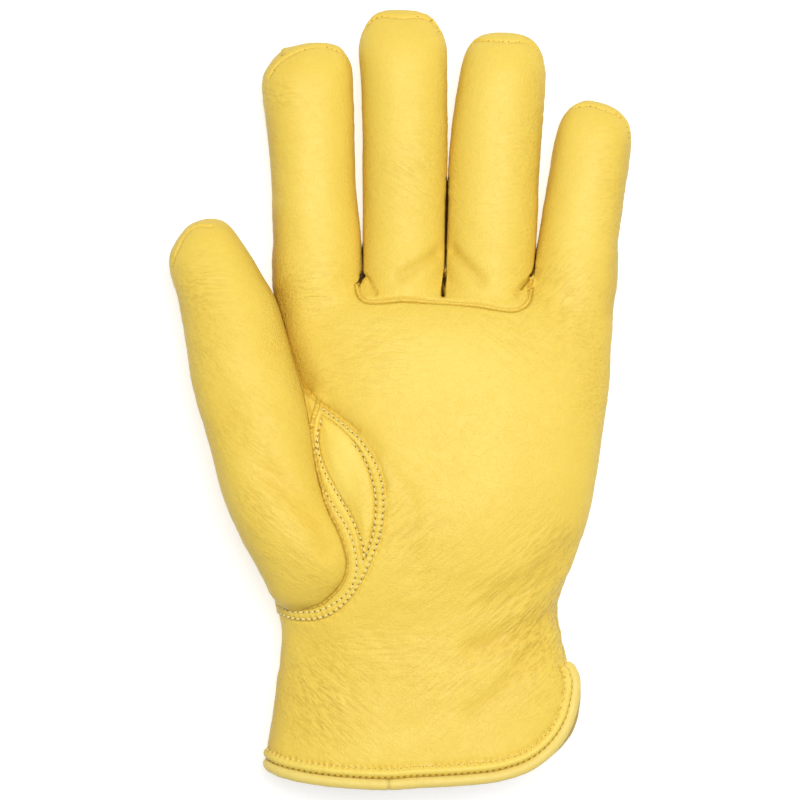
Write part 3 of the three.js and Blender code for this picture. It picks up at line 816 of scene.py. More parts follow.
def cuff_line(offset, inset=0.0, start=-180, end=180, step=2.0):
    """A line round the cuff between two angles, past the leather's cut edge by an offset."""
    line = []
    for angle in np.linspace(start, end, int(round(abs(end - start) / step)) + 1):
        p, before, after = (
            PALM_FORM.rim(a, hem_at(a), inset) for a in (angle, angle - 0.5, angle + 0.5)
        )
        middle, level, across, up = PALM_FORM.halves(np.asarray(p[1]))
        outward = np.array([(p[0] - middle) / across**2, 0.0, (p[2] - level) / up**2])
        away = np.cross(outward, after - before)
        line.append(p + offset * away / np.linalg.norm(away))
    return np.array(line)


def build_glove_skin(step):
    """The hand's points and faces, each face's finger, and the seam lines laid on it."""
    points, faces = skin(glove_distance, *HAND_BOX, step)
    points = settle(points, glove_distance)
    edges = edges_of(faces)
    y = points[:, 1]
    roots = smoothstep(18, 30, y) * (1 - smoothstep(42, 50, y))
    points = relax(points, edges, 0.5 * roots, 16)
    tips = smoothstep(90, 100, y)
    points = relax(points, edges, np.maximum(0.5 * tips, 0.25), 3)
    fingers = finger_of(points[faces].mean(axis=1))
    points = close_fingers(points)
    base = Skin(points, faces)
    seams = {name: base.drape(line) for name, line in TIP_SEAMS.items()}
    seams["finger_seam"] = base.drape(FINGER_SEAM)
    seams["band_edge"] = base.drape(BAND_EDGE)
    seams["gusset_edge"] = base.drape(GUSSET_EDGE)
    splits = {name: line for name, (line, _, _) in SPLITS.items()}
    for name, line in {**ROWS, **splits}.items():
        seams[name] = base.drape(line)
    seams["hem"] = cuff_line(0.0)
    return points, faces, fingers, seams


PALM_KIND, FRONT_KIND, BAND_KIND, GUSSET_KIND, GONE_KIND = range(5)
# How high the seam down the fingers' sides is, at each y.
SIDE_SEAM = [(0, 10.6), (96, 10.6), (112, 11.8), (120, 13.4), (140, 16.4)]
# An outline round the fingertips, which closes the finger seam's.
BEYOND_TIPS = [(60.0, 37.4), (60.0, 140.0), (-40.0, 140.0), (-40.0, 38.4)]
# The palm's leather is left away this deep in the thumb, and the thumb's this deep in the palm.
PALM_IN_THUMB, THUMB_IN_PALM = 3.2, 2.8


def inside_band(x, y, step):
    """Which places are on the thumb's band or under the thumb, as seen from above."""
    return inside_outline(np.vstack([smooth_line(BAND_EDGE, step), BAND_BEHIND]), x, y)


def kinds_of(middles, fingers):
    """Which leather each place on the glove belongs to."""
    x, y, z = middles.T
    kinds = np.full(len(middles), PALM_KIND)
    seam = smooth_line(FINGER_SEAM, 1.0)
    rise = np.interp(y, *np.array(SIDE_SEAM, float).T)
    front = inside_outline(np.vstack([seam, BEYOND_TIPS]), x, y) & (y > FINGER_ROOTS)
    front &= (fingers == 1) | (fingers == 2)
    front = (front | inside_outline(seam, x, y)) & (z > rise)
    for name in ("middle", "ring"):
        line = np.array(TIP_SEAMS[name], float)
        low, high = line[:, 0].min() - 3, line[:, 0].max() + 3
        here = (x > low) & (x < high) & (y > 108)
        front &= ~(here & (y > np.interp(x, line[:, 0], line[:, 1])))
    kinds[front] = FRONT_KIND
    kinds[inside_band(x, y, 1.0) & (z > WEB_HEIGHT)] = BAND_KIND
    kinds[inside_outline(smooth_line(GUSSET_EDGE, 1.0), x, y) & (z > WEB_HEIGHT)] = GUSSET_KIND
    kinds[(THUMB_FORM.distance(x, y, z) < -PALM_IN_THUMB) & (z > 12)] = GONE_KIND
    kinds[(y < hem_at(angle_round_palm(middles))) & (y < -80)] = GONE_KIND
    return kinds


def tidy_kinds(faces, kinds):
    """Evens each leather's outline, and gives its small stray islands to the leather round them."""
    for _ in range(3):
        count = np.zeros((faces.max() + 1, 5))
        for corner in range(4):
            np.add.at(count, (faces[:, corner], kinds), 1)
        kinds = count[faces].sum(axis=1).argmax(axis=1)
    seen, pairs = {}, []
    for number, face in enumerate(faces.tolist()):
        for a, b in zip(face, face[1:] + face[:1]):
            if a != b:
                other = seen.setdefault((min(a, b), max(a, b)), number)
                if other != number:
                    pairs.append((other, number))
    parent = list(range(len(faces)))

    def root(k):
        while parent[k] != k:
            parent[k] = parent[parent[k]]
            k = parent[k]
        return k

    for a, b in pairs:
        if kinds[a] == kinds[b]:
            parent[root(a)] = root(b)
    roots = np.array([root(k) for k in range(len(faces))])
    size = np.bincount(roots, minlength=len(faces))
    stray = np.zeros(len(faces), bool)
    for kind in (PALM_KIND, FRONT_KIND, BAND_KIND, GUSSET_KIND):
        mine = kinds == kind
        stray |= mine & (size[roots] < size[roots[mine]].max())
    kinds = kinds.copy()
    while stray.any():
        before = stray.sum()
        for a, b in pairs:
            if stray[a] != stray[b]:
                one, two = (a, b) if stray[a] else (b, a)
                kinds[one], stray[one] = kinds[two], False
        if stray.sum() == before:
            break
    return kinds


def settle_borders(points, faces, kinds, lines, reach):
    """Brings the points where two leathers meet onto their seam's line, or else evens them."""
    sides = [faces[:, [k, (k + 1) % 4]] for k in range(4)]
    sides, owners = np.sort(np.vstack(sides), axis=1), np.tile(kinds, 4)
    real = sides[:, 0] != sides[:, 1]
    edges, number = np.unique(sides[real], axis=0, return_inverse=True)
    first, last = np.full(len(edges), 99), np.full(len(edges), -1)
    np.minimum.at(first, number.ravel(), owners[real])
    np.maximum.at(last, number.ravel(), owners[real])
    between = edges[first != last]
    border = np.unique(between)
    free = np.zeros(len(points))
    free[border] = 0.5
    for line in lines:
        rows = border[np.isin(border, near_line(points, line, reach))]
        if len(rows):
            distance, nearest, _ = distance_to_line(points[rows], line)
            ends = np.linalg.norm(nearest[:, None] - line[[0, -1]], axis=2).min(axis=1)
            closed = np.linalg.norm(line[0] - line[-1]) < 0.1
            close = (distance < reach) & (closed | (ends > 0.2))
            points[rows[close]] = nearest[close]
            free[rows[close]] = 0
    points = relax(points, between, free, 6)
    beside = np.zeros(len(points))
    beside[edges[np.isin(edges, border).any(axis=1)]] = 0.5
    beside[border] = 0
    return relax(points, edges, beside, 3)


def raise_band(glove):
    """The band stands above the palm, which is puckered along its edge."""
    x, y, z = glove.points.T
    inside = inside_band(x, y, 0.6)
    away = distances(glove.points, glove.seams["band_edge"], 6.0, FAR)
    signed = np.where(inside, away, -away)
    near_band = (inside | (away < 3)) & (z > WEB_HEIGHT)
    glove.height += 0.6 * smoothstep(-0.2, 0.35, signed) * near_band
    outer = (signed < 0) & (signed > -FAR) & (z > WEB_HEIGHT)
    for k in np.flatnonzero(outer & (away < 6)):
        pucker = noise.noise(Vector((x[k] / 1.5, y[k] / 1.5, 3.0)))
        glove.height[k] += 0.22 * pucker * math.exp(-(((signed[k] + 1.4) / 1.5) ** 2))
    glove.height -= 0.3 * bell(signed + 0.5, 0.6) * outer
    # Painted shade along the band's edge.
    glove.shade = np.maximum(glove.shade, 0.2 * bell(signed + 0.1, 0.3) * (away < 3))


def dome_gusset(glove):
    """The gusset is a little domed between its seams."""
    x, y, z = glove.points.T
    leaf = inside_outline(smooth_line(GUSSET_EDGE, 0.6), x, y) & (z > WEB_HEIGHT)
    away = distances(glove.points, glove.seams["gusset_edge"], 8.0, FAR)
    glove.height += leaf * (0.9 * smoothstep(0, 4.5, away) - 0.35)
    glove.press(glove.seams["gusset_edge"], *PRESSES["gusset_edge"])


def press_seams(glove):
    """The stitched rows of the band, and the turned seams of the fingers."""
    for name in ROWS:
        glove.press(glove.seams[name], *PRESSES["row"])
    glove.press(glove.seams["finger_seam"], *PRESSES["finger_seam"])
    for offset, dark, ripple in FINGER_SEAM_SIDES:
        line = moved_line(smooth_line(FINGER_SEAM, 1.0), offset)
        glove.press(glove.drape(line), *FINGER_SEAM_LINE, dark, ripple)
    for name in TIP_SEAMS:
        glove.press(glove.seams[name], *PRESSES["tip_seam"])


def work_hem(glove):
    """The band round the cuff, full between its cut edge and its stitches, which pull it in."""
    hem = glove.seams["hem"]
    rows = near_line(glove.points, hem, 6.0)
    distance, _, along = distance_to_line(glove.points[rows], hem)
    below_vent = 1 - smoothstep(*VENT_FADE, glove.points[rows, 1])
    bulge = np.sin(np.clip(distance / HEM_BAND, 0, 1) * math.pi) * below_vent
    pull = 1 + 0.7 * np.cos(along * (2 * math.pi / STITCH_PITCH))
    upper = bell(distance - HEM_ROW, 0.6) * below_vent
    glove.height[rows] += 0.75 * bulge - 0.5 * bell(distance, 0.8) * below_vent
    glove.height[rows] -= 0.45 * upper * pull + 0.05 * bulge * (pull - 1)
    # Painted shade in the crease at the cut edge, and at the stitches' puckers in the upper row.
    crease = (0.05 + 0.4 * pull) * bell(distance, 0.4) * below_vent
    tick = upper * np.clip(pull - 0.8, 0, 1) * 0.36
    glove.shade[rows] = np.maximum(glove.shade[rows], np.maximum(crease, tick))
    return rows, bulge


def gather_wrist(glove):
    """The back of the wrist is drawn in by its elastic."""
    x, y, _ = glove.points.T
    near = smoothstep(GATHER["left"] - 6, GATHER["left"] + 2, x)
    near *= 1 - smoothstep(GATHER["right"] - 2, GATHER["right"] + 6, x)
    near *= smoothstep(0.1, 0.6, -glove.normals[:, 2])
    drawn = bell(y - GATHER["y"], 2.6)
    fan = bell(y - GATHER["y"], 9.0) - 0.6 * drawn
    wave = np.cos(x * (2 * math.pi / GATHER["pitch"]) + np.sin(x * 0.9) * 1.2)
    glove.height -= near * GATHER["depth"] * (drawn + 0.45 * fan * (1 - wave))


def work_glove(step):
    """The leathers of the hand in relief, with each face's leather."""
    points, faces, fingers, seams = build_glove_skin(step)
    points, faces, fingers = refine(points, faces, fingers, seams.values(), 4.2)
    fine = [line for name, line in seams.items() if not name.startswith("row")]
    points, faces, fingers = refine(points, faces, fingers, fine, 1.5)
    kinds = tidy_kinds(faces, kinds_of(points[faces].mean(axis=1), fingers))
    borders = ("band_edge", "gusset_edge", "finger_seam", "hem", "middle", "ring")
    borders = [seams[name] for name in borders]
    points = settle_borders(points, faces, kinds, borders, 0.32 * step)
    glove = Skin(points, faces)
    glove.seams, glove.kinds = seams, kinds
    glove.height += soft_relief(points)
    glove.height += wrinkle_relief(points, glove.normals, WRINKLES)
    for line, depth, width, dark in CREASES:
        glove.press(glove.drape(line), depth, width, dark, 0.6 if depth < 0 else 0, 2.4)
    for name, (_, depth, width) in SPLITS.items():
        glove.press(seams[name], depth, width, level=True)
    for line, width, dark in SHADOWS:
        glove.darken(line, width, dark)
    raise_band(glove)
    dome_gusset(glove)
    press_seams(glove)
    rows, bulge = work_hem(glove)
    gather_wrist(glove)
    glove.press(outseam_line(), *PRESSES["outer_seam"])
    glove.note_finish(WRINKLES, [seams[name] for name in (*TIP_SEAMS, *SPLITS)])
    # Painted highlight on the top of the hem's bulge.
    glove.creases["pale"][rows] = np.maximum(glove.creases["pale"][rows], 0.7 * bulge)
    return glove


def outseam_line():
    """The seam down the little finger's side, to the top of the vent."""
    line = [PALM_FORM.rim(a, y) for a, y in ((9, -86.4), (7, -78), (5, -70), (3, -60), (1, -48))]
    line += [PALM_FORM.rim(0, y) for y in range(-40, 28, 8)]
    little = FINGER_FORMS[3]
    line += [little.rim(4, y) for y in range(40, 90, 8)]
    return smooth_line(line, 0.8)


def beside_thumb(points):
    """The distance from the palm and the index finger, where the fingers are closed."""
    x, y, z = points.T
    index = FINGER_FORMS[0]
    return np.minimum(
        PALM_FORM.distance(x, y, z), index.distance(x + index.spread * finger_spread(y), y, z)
    )


def thumb_seam_line():
    """Where the thumb's form comes out of the palm's: down the palm's side and up the back's."""
    clear = 0.5
    lines = []
    for turn in (-1, 1):
        line = []
        for y in np.arange(38, -71, -1.5):
            turns = 90 + turn * np.arange(3, 330, 1.5)
            rim = np.array([THUMB_FORM.rim(a, y, -clear) for a in turns])
            sunk = np.flatnonzero(beside_thumb(rim) < clear + 0.5)
            if len(sunk) and sunk[0] > 0:
                line.append(rim[sunk[0]])
        lines.append(line)
    return smooth_line(lines[0] + lines[1][::-1], 0.7)


def work_thumb(step, glove):
    """The thumb's leather in relief. Its seam is pressed into the glove's too."""
    points, faces = skin(THUMB_FORM.distance, *THUMB_BOX, step)
    points = settle(points, THUMB_FORM.distance)
    edges = edges_of(faces)
    share = 0.25 + 0.3 * smoothstep(48, 54, points[:, 1])
    points = relax(points, edges, share, 3)
    base = Skin(points, faces)
    tip, seam = base.drape(THUMB_TIP_SEAM), thumb_seam_line()
    marks = np.zeros(len(faces))
    points, faces, marks = refine(points, faces, marks, [tip, seam], 3.0)
    points, faces, _ = refine(points, faces, marks, [tip], 1.4)
    thumb = Skin(points, faces)
    middles = points[faces].mean(axis=1)
    thumb.kinds = np.where(beside_thumb(middles) < -THUMB_IN_PALM, GONE_KIND, PALM_KIND)
    thumb.height += soft_relief(points)
    thumb.height += wrinkle_relief(points, thumb.normals, THUMB_WRINKLES)
    for line, depth, width in THUMB_CREASES:
        thumb.press(thumb.drape(line), depth, width)
    thumb.press(tip, *PRESSES["tip_seam"])
    thumb.press(seam, *PRESSES["thumb_seam"])
    # Painted shadow on the palm under the thumb's edge.
    glove.press(seam, *PRESSES["under_thumb"])
    thumb.note_finish(THUMB_WRINKLES, [tip])
    thumb.seam = seam
    return thumb


# Materials


class Wire:
    """One output of a material's nodes. Arithmetic on it adds Math nodes."""

    def __init__(self, tree, output):
        self.tree, self.output = tree, output

    def sum(self, operation, a, b, c=None):
        sockets = {0: a, 1: b} if c is None else {0: a, 1: b, 2: c}
        return add_node(self.tree, "ShaderNodeMath", {"operation": operation}, sockets)

    def __add__(self, other):
        return self.sum("ADD", self, other)

    def __sub__(self, other):
        return self.sum("SUBTRACT", self, other)

    def __rsub__(self, other):
        return self.sum("SUBTRACT", other, self)

    def __mul__(self, other):
        return self.sum("MULTIPLY", self, other)

    def __abs__(self):
        return self.sum("ABSOLUTE", self, 0.0)

    __radd__, __rmul__ = __add__, __mul__


def add_node(tree, kind, settings=None, sockets=None, output=0):
    """A node of any kind, its settings first and then its sockets' values or links."""
    node = tree.nodes.new(kind)
    for name, value in (settings or {}).items():
        if name == "stops":
            ramp = node.color_ramp
            while len(ramp.elements) < len(value):
                ramp.elements.new(1.0)
            for stop, (place, level) in zip(ramp.elements, value):
                stop.position, stop.color = place, (level, level, level, 1)
        else:
            setattr(node, name, value)
    for name, value in (sockets or {}).items():
        if isinstance(value, Wire):
            tree.links.new(value.output, node.inputs[name])
        else:
            node.inputs[name].default_value = value
    return Wire(tree, node.outputs[output]) if len(node.outputs) else None


def new_material(name):
    material = bpy.data.materials.new(name)
    material.use_nodes = True
    tree = material.node_tree
    tree.nodes.clear()
    return material, tree


def finish_material(tree, sockets):
    shader = add_node(tree, "ShaderNodeBsdfPrincipled", None, sockets)
    add_node(tree, "ShaderNodeOutputMaterial", None, {"Surface": shader})


def place_of(tree, scale=(1, 1, 1), turn=0.0):
    """Object coordinates, turned about Z and then scaled."""
    place = add_node(tree, "ShaderNodeTexCoord", output=3)
    turned = add_node(tree, "ShaderNodeMapping", None, {"Vector": place, "Rotation": (0, 0, turn)})
    return add_node(tree, "ShaderNodeMapping", None, {"Vector": turned, "Scale": scale})


def clouds(tree, place, scale, detail=3.0, distortion=0.0, roughness=0.5):
    """Soft noise, of a scale given as features per metre."""
    sockets = {
        "Vector": place, "Scale": scale, "Detail": detail,
        "Distortion": distortion, "Roughness": roughness,
    }
    return add_node(tree, "ShaderNodeTexNoise", None, sockets)


def ramp(tree, value, low, high):
    """0 up to the low value, 1 from the high one."""
    stops = [(low, 0.0), (high, 1.0)] if low < high else [(high, 1.0), (low, 0.0)]
    return add_node(tree, "ShaderNodeValToRGB", {"stops": stops}, {"Fac": value})


def blend(tree, share, one, two):
    settings = {"data_type": "RGBA"}
    return add_node(tree, "ShaderNodeMix", settings, {0: share, 6: one, 7: two}, output=2)


def attribute(tree, name):
    return add_node(tree, "ShaderNodeAttribute", {"attribute_name": name}, output=2)


def cells(tree, place, scale, smoothness):
    """Soft round cells, like the pores and pebbles of leather."""
    sockets = {"Vector": place, "Scale": scale, "Smoothness": smoothness, "Randomness": 1.0}
    return add_node(tree, "ShaderNodeTexVoronoi", {"feature": "SMOOTH_F1"}, sockets)


def bump(tree, height, distance, strength):
    sockets = {"Height": height, "Distance": distance, "Strength": strength}
    return add_node(tree, "ShaderNodeBump", None, sockets)


def rgba(colour):
    return (colour[0], colour[1], colour[2], 1.0)


def darker(colour, share):
    return rgba([c * share for c in colour])


# How many features the patterns of the leather have in a metre.
FEATURES = {
    "broad": 48.0, "mottle": 260.0, "pores": 1900.0, "pebble": 1400.0, "places": 38.0,
    "lines": 330.0, "streaks": 980.0,
}


def leather_material(name, lit, deep, painted_shade_colour, grain, gloss=0.44):
    """Smooth dyed leather: a fine grain, pebbled in places, fine creases, painted shade and painted
    highlights.
    """
    material, tree = new_material(name)
    place = place_of(tree)
    broad = clouds(tree, place, FEATURES["broad"], 3.0)
    mottle = clouds(tree, place, FEATURES["mottle"], 4.0, 0.6)
    pores = cells(tree, place, FEATURES["pores"], 0.45)
    pebble = cells(tree, place, FEATURES["pebble"], 0.4)
    rough_places = ramp(tree, clouds(tree, place, FEATURES["places"], 2.0), 0.42, 0.7)
    shade, fold, coarse = (attribute(tree, key) for key in ("shade", "fold", "pebble"))
    height = pores * (-0.16 * grain) - pebble * (rough_places * 0.25 + coarse) * (0.8 * grain)
    lines = clouds(tree, place, FEATURES["lines"], 2.0, 1.0, 0.5)
    height = height + mottle * 0.45 - ramp(tree, abs(lines - 0.5), 0.05, 0.0) * 0.16
    # Painted shade in the hollows of pebbles and pores, and below in the fine creases' valleys.
    valley_shade = ramp(tree, pebble, 0.4, 0.8) * coarse * 0.7 + ramp(tree, pores, 0.3, 0.8) * 0.14
    for key, turn in CREASE_TURNS.items():
        turned = place_of(tree, (0.14, 1.0, 1.0), -math.radians(turn))
        streaks = clouds(tree, turned, FEATURES["streaks"], 1.0, 0.4, 0.4)
        share = attribute(tree, key)
        height = height + streaks * share * 2.2
        valley_shade = valley_shade + ramp(tree, streaks, 0.56, 0.36) * share
    warmth = ramp(tree, broad * 0.6 + mottle * 0.4, 0.36, 0.66)
    # The colour of the painted highlights.
    pale = rgba((lit[0] * 1.05, lit[1] * 1.12, lit[2] * 1.45))
    valley_shade_colour = rgba((deep[0] * 0.5, deep[1] * 0.42, deep[2] * 0.3))
    colour = rgba(lit)
    # Tone that differs at random and with the grain, then painted shade in folds, painted highlights,
    # painted shade in the valleys, and painted shade at seams and shadowed places.
    for share, other in (
        (warmth * 0.22 + coarse * 0.12, rgba(deep)),
        (fold * 0.35, rgba(deep)),
        (attribute(tree, "pale"), pale),
        (valley_shade * 0.26, valley_shade_colour),
        # Painted shade at seams, creases and shadowed places, nearly black where deepest.
        (ramp(tree, shade, 0.0, 0.8), rgba(painted_shade_colour)),
        (ramp(tree, shade, 0.5, 1.0), darker(painted_shade_colour, 0.08)),
    ):
        colour = blend(tree, share, colour, other)
    sockets = {
        "Base Color": colour, "Normal": bump(tree, height, 0.0003, 0.9), "Specular IOR Level": 0.2,
        "Roughness": mottle * 0.16 + coarse * 0.08 + (gloss - 0.06),
    }
    finish_material(tree, sockets)
    return material


def lining_material(colour):
    """Short pile, seen only in the mouth of the cuff."""
    material, tree = new_material("pile_lining")
    place = place_of(tree)
    tufts = clouds(tree, place, 1400.0, 2.0, 0.4)
    patches = clouds(tree, place, 90.0, 2.0)
    tone = blend(tree, ramp(tree, tufts, 0.35, 0.7), darker(colour, 0.72), rgba(colour))
    normal = bump(tree, tufts + patches * 0.6, 0.0006, 1.0)
    finish_material(tree, {"Base Color": tone, "Normal": normal, "Roughness": tufts * 0.1 + 0.88})
    return material


def thread_material(name, colour):
    """Waxed thread, twisted from strands."""
    material, tree = new_material(name)
    sockets = {"Vector": place_of(tree), "Scale": 1500.0, "Distortion": 2.0, "Detail": 2.0}
    settings = {"bands_direction": "DIAGONAL"}
    strands = add_node(tree, "ShaderNodeTexWave", settings, sockets, output=1)
    tone = blend(tree, strands * 0.25, rgba(colour), darker(colour, 0.7))
    sockets = {"Base Color": tone, "Normal": bump(tree, strands, 0.00008, 0.7)}
    finish_material(tree, {**sockets, "Roughness": strands * 0.15 + 0.55})
    return material


def hole_material(colour):
    """The shadowed bottom of a needle's hole."""
    material, tree = new_material("needle_hole")
    # The hole's painted shade varies in darkness.
    uneven_shade = clouds(tree, place_of(tree), 900.0, 2.0)
    tone = blend(tree, uneven_shade, darker(colour, 0.5), rgba(colour))
    finish_material(tree, {"Base Color": tone, "Roughness": uneven_shade * 0.1 + 0.8})
    return material


# Pieces


def deselect_all():
    for thing in bpy.context.selected_objects:
        thing.select_set(False)


def set_values(mesh, key, values):
    layer = mesh.attributes.new(key, "FLOAT", "POINT")
    layer.data.foreach_set("value", values.astype(np.float32))


def make_piece(name, points, faces, materials, attributes=None):
    """A new mesh object of points in millimetres, selected and active."""
    mesh = bpy.data.meshes.new(name)
    mesh.from_pydata((points * MM).tolist(), [], corners_of(faces))
    for key, values in (attributes or {}).items():
        set_values(mesh, key, values)
    for material in materials:
        mesh.materials.append(material)
    piece = bpy.data.objects.new(name, mesh)
    bpy.context.scene.collection.objects.link(piece)
    deselect_all()
    piece.select_set(True)
    bpy.context.view_layer.objects.active = piece
    bpy.ops.object.shade_smooth()
    return piece


def settle_piece(piece, nodes):
    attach(piece, "root")
    if nodes:
        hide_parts(*nodes)


def part_of(skin_, kind):
    """The numbers of one leather's points, and its faces by their places among those."""
    faces = skin_.faces[skin_.kinds == kind]
    used = np.unique(faces)
    number = np.full(len(skin_.points), -1)
    number[used] = np.arange(len(used))
    return used, number[faces]


def triangles_of(mesh):
    return sum(len(polygon.vertices) - 2 for polygon in mesh.polygons)


# Points of one leather that are closer than this are made one, in millimetres.
DOUBLES = 0.06
# The lining's finish shows on inner faces up to this y. Further in they are plain leather.
LINING_TOP = 30.0
# Faces that meet at less than this angle, in degrees, are shaded as one, on leathers and cords.
LEATHER_SMOOTH, CORD_SMOOTH = 62, 50


def leather_piece(name, skin_, kind, materials, wall, inner_share):
    """One leather with its lining: its own relief outside, and a plainer face inside."""
    used, faces = part_of(skin_, kind)
    values = {"shade": skin_.shade[used], "fold": skin_.fold[used]}
    values.update({key: share[used] for key, share in skin_.creases.items()})
    piece = make_piece(name, skin_.points[used], faces, materials, values)
    piece.vertex_groups.new(name="inner")
    thin = piece.vertex_groups.new(name="thin")
    for number in np.flatnonzero(skin_.thin[used] > 0.01).tolist():
        thin.add([number], skin_.thin[used[number]], "REPLACE")
    bpy.ops.object.mode_set(mode="EDIT")
    bpy.ops.mesh.select_all(action="SELECT")
    bpy.ops.mesh.remove_doubles(threshold=DOUBLES * MM)
    bpy.ops.object.mode_set(mode="OBJECT")
    outer = triangles_of(piece.data)
    solid = piece.modifiers.new("wall", "SOLIDIFY")
    solid.vertex_group, solid.invert_vertex_group = "thin", True
    solid.thickness, solid.offset = wall, -1
    solid.shell_vertex_group = "inner"
    solid.use_quality_normals = True
    solid.material_offset = 1
    bpy.ops.object.modifier_apply(modifier="wall")
    for polygon in piece.data.polygons:
        if polygon.material_index == 1 and polygon.center.y > LINING_TOP * MM:
            polygon.material_index = 0
    total = triangles_of(piece.data)
    plain = piece.modifiers.new("plain_inside", "DECIMATE")
    plain.vertex_group = "inner"
    plain.ratio = (total - outer * (1 - inner_share)) / total
    bpy.ops.object.modifier_apply(modifier="plain_inside")
    bpy.ops.object.shade_smooth_by_angle(angle=math.radians(LEATHER_SMOOTH))
    return piece


def cord_piece(name, line, radii, sides, materials, shade, floor=None):
    """A round cord along a line in millimetres, drawn as a curve and made a mesh."""
    deselect_all()
    bpy.ops.curve.primitive_nurbs_path_add()
    path = bpy.context.active_object
    path.name = name
    curve = path.data
    curve.splines.clear()
    spline = curve.splines.new("POLY")
    spline.points.add(len(line) - 1)
    for point, place, radius in zip(spline.points, line * MM, radii):
        point.co = (*place, 1)
        point.radius = radius
    curve.dimensions = "3D"
    curve.twist_mode = "MINIMUM"
    curve.bevel_depth = MM
    curve.bevel_resolution = sides // 2 - 2
    curve.use_fill_caps = True
    bpy.ops.object.convert(target="MESH")
    piece = bpy.context.active_object
    piece.data.materials.clear()
    for material in materials:
        piece.data.materials.append(material)
    if floor is not None:
        for vertex in piece.data.vertices:
            vertex.co.z = max(vertex.co.z, floor)
    places = np.array([vertex.co[:] for vertex in piece.data.vertices]) / MM
    nearest = np.array([((line - place) ** 2).sum(axis=1).argmin() for place in places])
    set_values(piece.data, "shade", shade[nearest])
    bpy.ops.object.shade_smooth_by_angle(angle=math.radians(CORD_SMOOTH))
    return piece


# What the pieces' operators share while the glove is being made.
work = {}
# The colours of the painted shade on the leather, at its seams, creases and shadowed places,
# and on the roll.
LEATHER_PAINTED_SHADE, ROLL_PAINTED_SHADE = (0.36, 0.18, 0.002), (0.3, 0.17, 0.02)


def materials_of_leather(settings):
    if "leather" not in work:
        work["leather"] = leather_material(
            "grain_leather", settings.lit, settings.deep, LEATHER_PAINTED_SHADE, settings.grain
        )
        work["lining"] = lining_material(settings.lining)
    return [work["leather"], work["lining"]]


def shapes(settings):
    """The hand's and the thumb's leather in relief, made once for all their pieces."""
    if "glove" not in work:
        step = settings.mesh_step / MM * 1
        glove = work_glove(step)
        thumb = work_thumb(step, glove)
        glove.work()
        thumb.work()
        work.update(glove=glove, thumb=thumb)
    return work["glove"], work["thumb"]


# How far stitches lean across their row, how unevenly, and the least height that any is sewn at.
LEAN, UNEVEN_LEAN = 0.16, 0.25
LEAST_HEIGHT = 0.8
# Half the length, width and height of a needle's hole, and its share of them elsewhere than on the
# band, and in the crease under the roll.
PIT = (0.38, 0.27, 0.1)
SMALL_PIT, CREASE_PIT = 0.6, (1.25, 0.6, 1.0)
# Where the row of stitches and the crease round the cuff start and end, in degrees.
ROW_ENDS, CREASE_ENDS = (22, 338), (20, 340)


def on_skin(skins, point):
    """The nearest place on some worked skins, with its outward direction."""
    found = [skin_.tree.find_nearest(Vector(point)) for skin_ in skins]
    place, normal, _, _ = min(found, key=lambda hit: hit[3])
    return np.array(place), np.array(normal)


def spots_along(line, skins, pitch, start=0.0, end=None):
    """Even places along a line laid on the skins: each with its own three directions."""
    length = lengths_along(line)
    spots = []
    for at in np.arange(start, length[-1] if end is None else end, pitch):
        here, ahead = (
            np.array([np.interp(at + d, length, line[:, k]) for k in range(3)]) for d in (0, 0.4)
        )
        place, normal = on_skin(skins, here)
        tangent = ahead - here
        tangent = tangent - normal * (tangent @ normal)
        if np.linalg.norm(tangent) < 1e-6 or place[2] < LEAST_HEIGHT:
            continue
        tangent /= np.linalg.norm(tangent)
        lean = LEAN + UNEVEN_LEAN * noise.noise(Vector((at * 1.7, place[0], place[1])))
        tangent = tangent + np.cross(normal, tangent) * lean
        tangent /= np.linalg.norm(tangent)
        spots.append((place, tangent, np.cross(normal, tangent), normal))
    return spots


def copies_at(shape_points, shape_faces, spots, lift):
    """One mesh of copies of a small shape, its X along each spot's line."""
    points, faces = [], []
    for k, (place, along, across, up) in enumerate(spots):
        turned = shape_points @ np.stack([along, across, up])
        points.append(turned + place + up * lift)
        faces.append(shape_faces + k * len(shape_points))
    return np.vstack(points), np.vstack(faces)


def small_shape(segments, rings, size, bend=0.0):
    """A low round shape of a few dozen faces, its ends bent down by a share of its height."""
    deselect_all()
    bpy.ops.mesh.primitive_uv_sphere_add(segments=segments, ring_count=rings, radius=1.0)
    start = bpy.context.active_object
    bpy.ops.transform.rotate(value=math.pi / 2, orient_axis="Y", center_override=(0, 0, 0))
    bpy.ops.object.transform_apply(location=False, rotation=True, scale=False)
    mesh = start.data
    points = np.array([v.co[:] for v in mesh.vertices]) * np.array(size)
    points[:, 2] -= bend * (points[:, 0] / size[0]) ** 2
    faces = fours_of([list(polygon.vertices) for polygon in mesh.polygons])
    bpy.data.objects.remove(start, do_unlink=True)
    bpy.data.meshes.remove(mesh)
    return points, faces


def colour_setting(name, description, default):
    return bpy.props.FloatVectorProperty(
        name=name, description=description, subtype="COLOR", size=3, min=0, max=1, default=default
    )


def length_setting(name, description, least, most, default):
    return bpy.props.FloatProperty(
        name=name, description=description, unit="LENGTH", min=least, max=most, default=default
    )


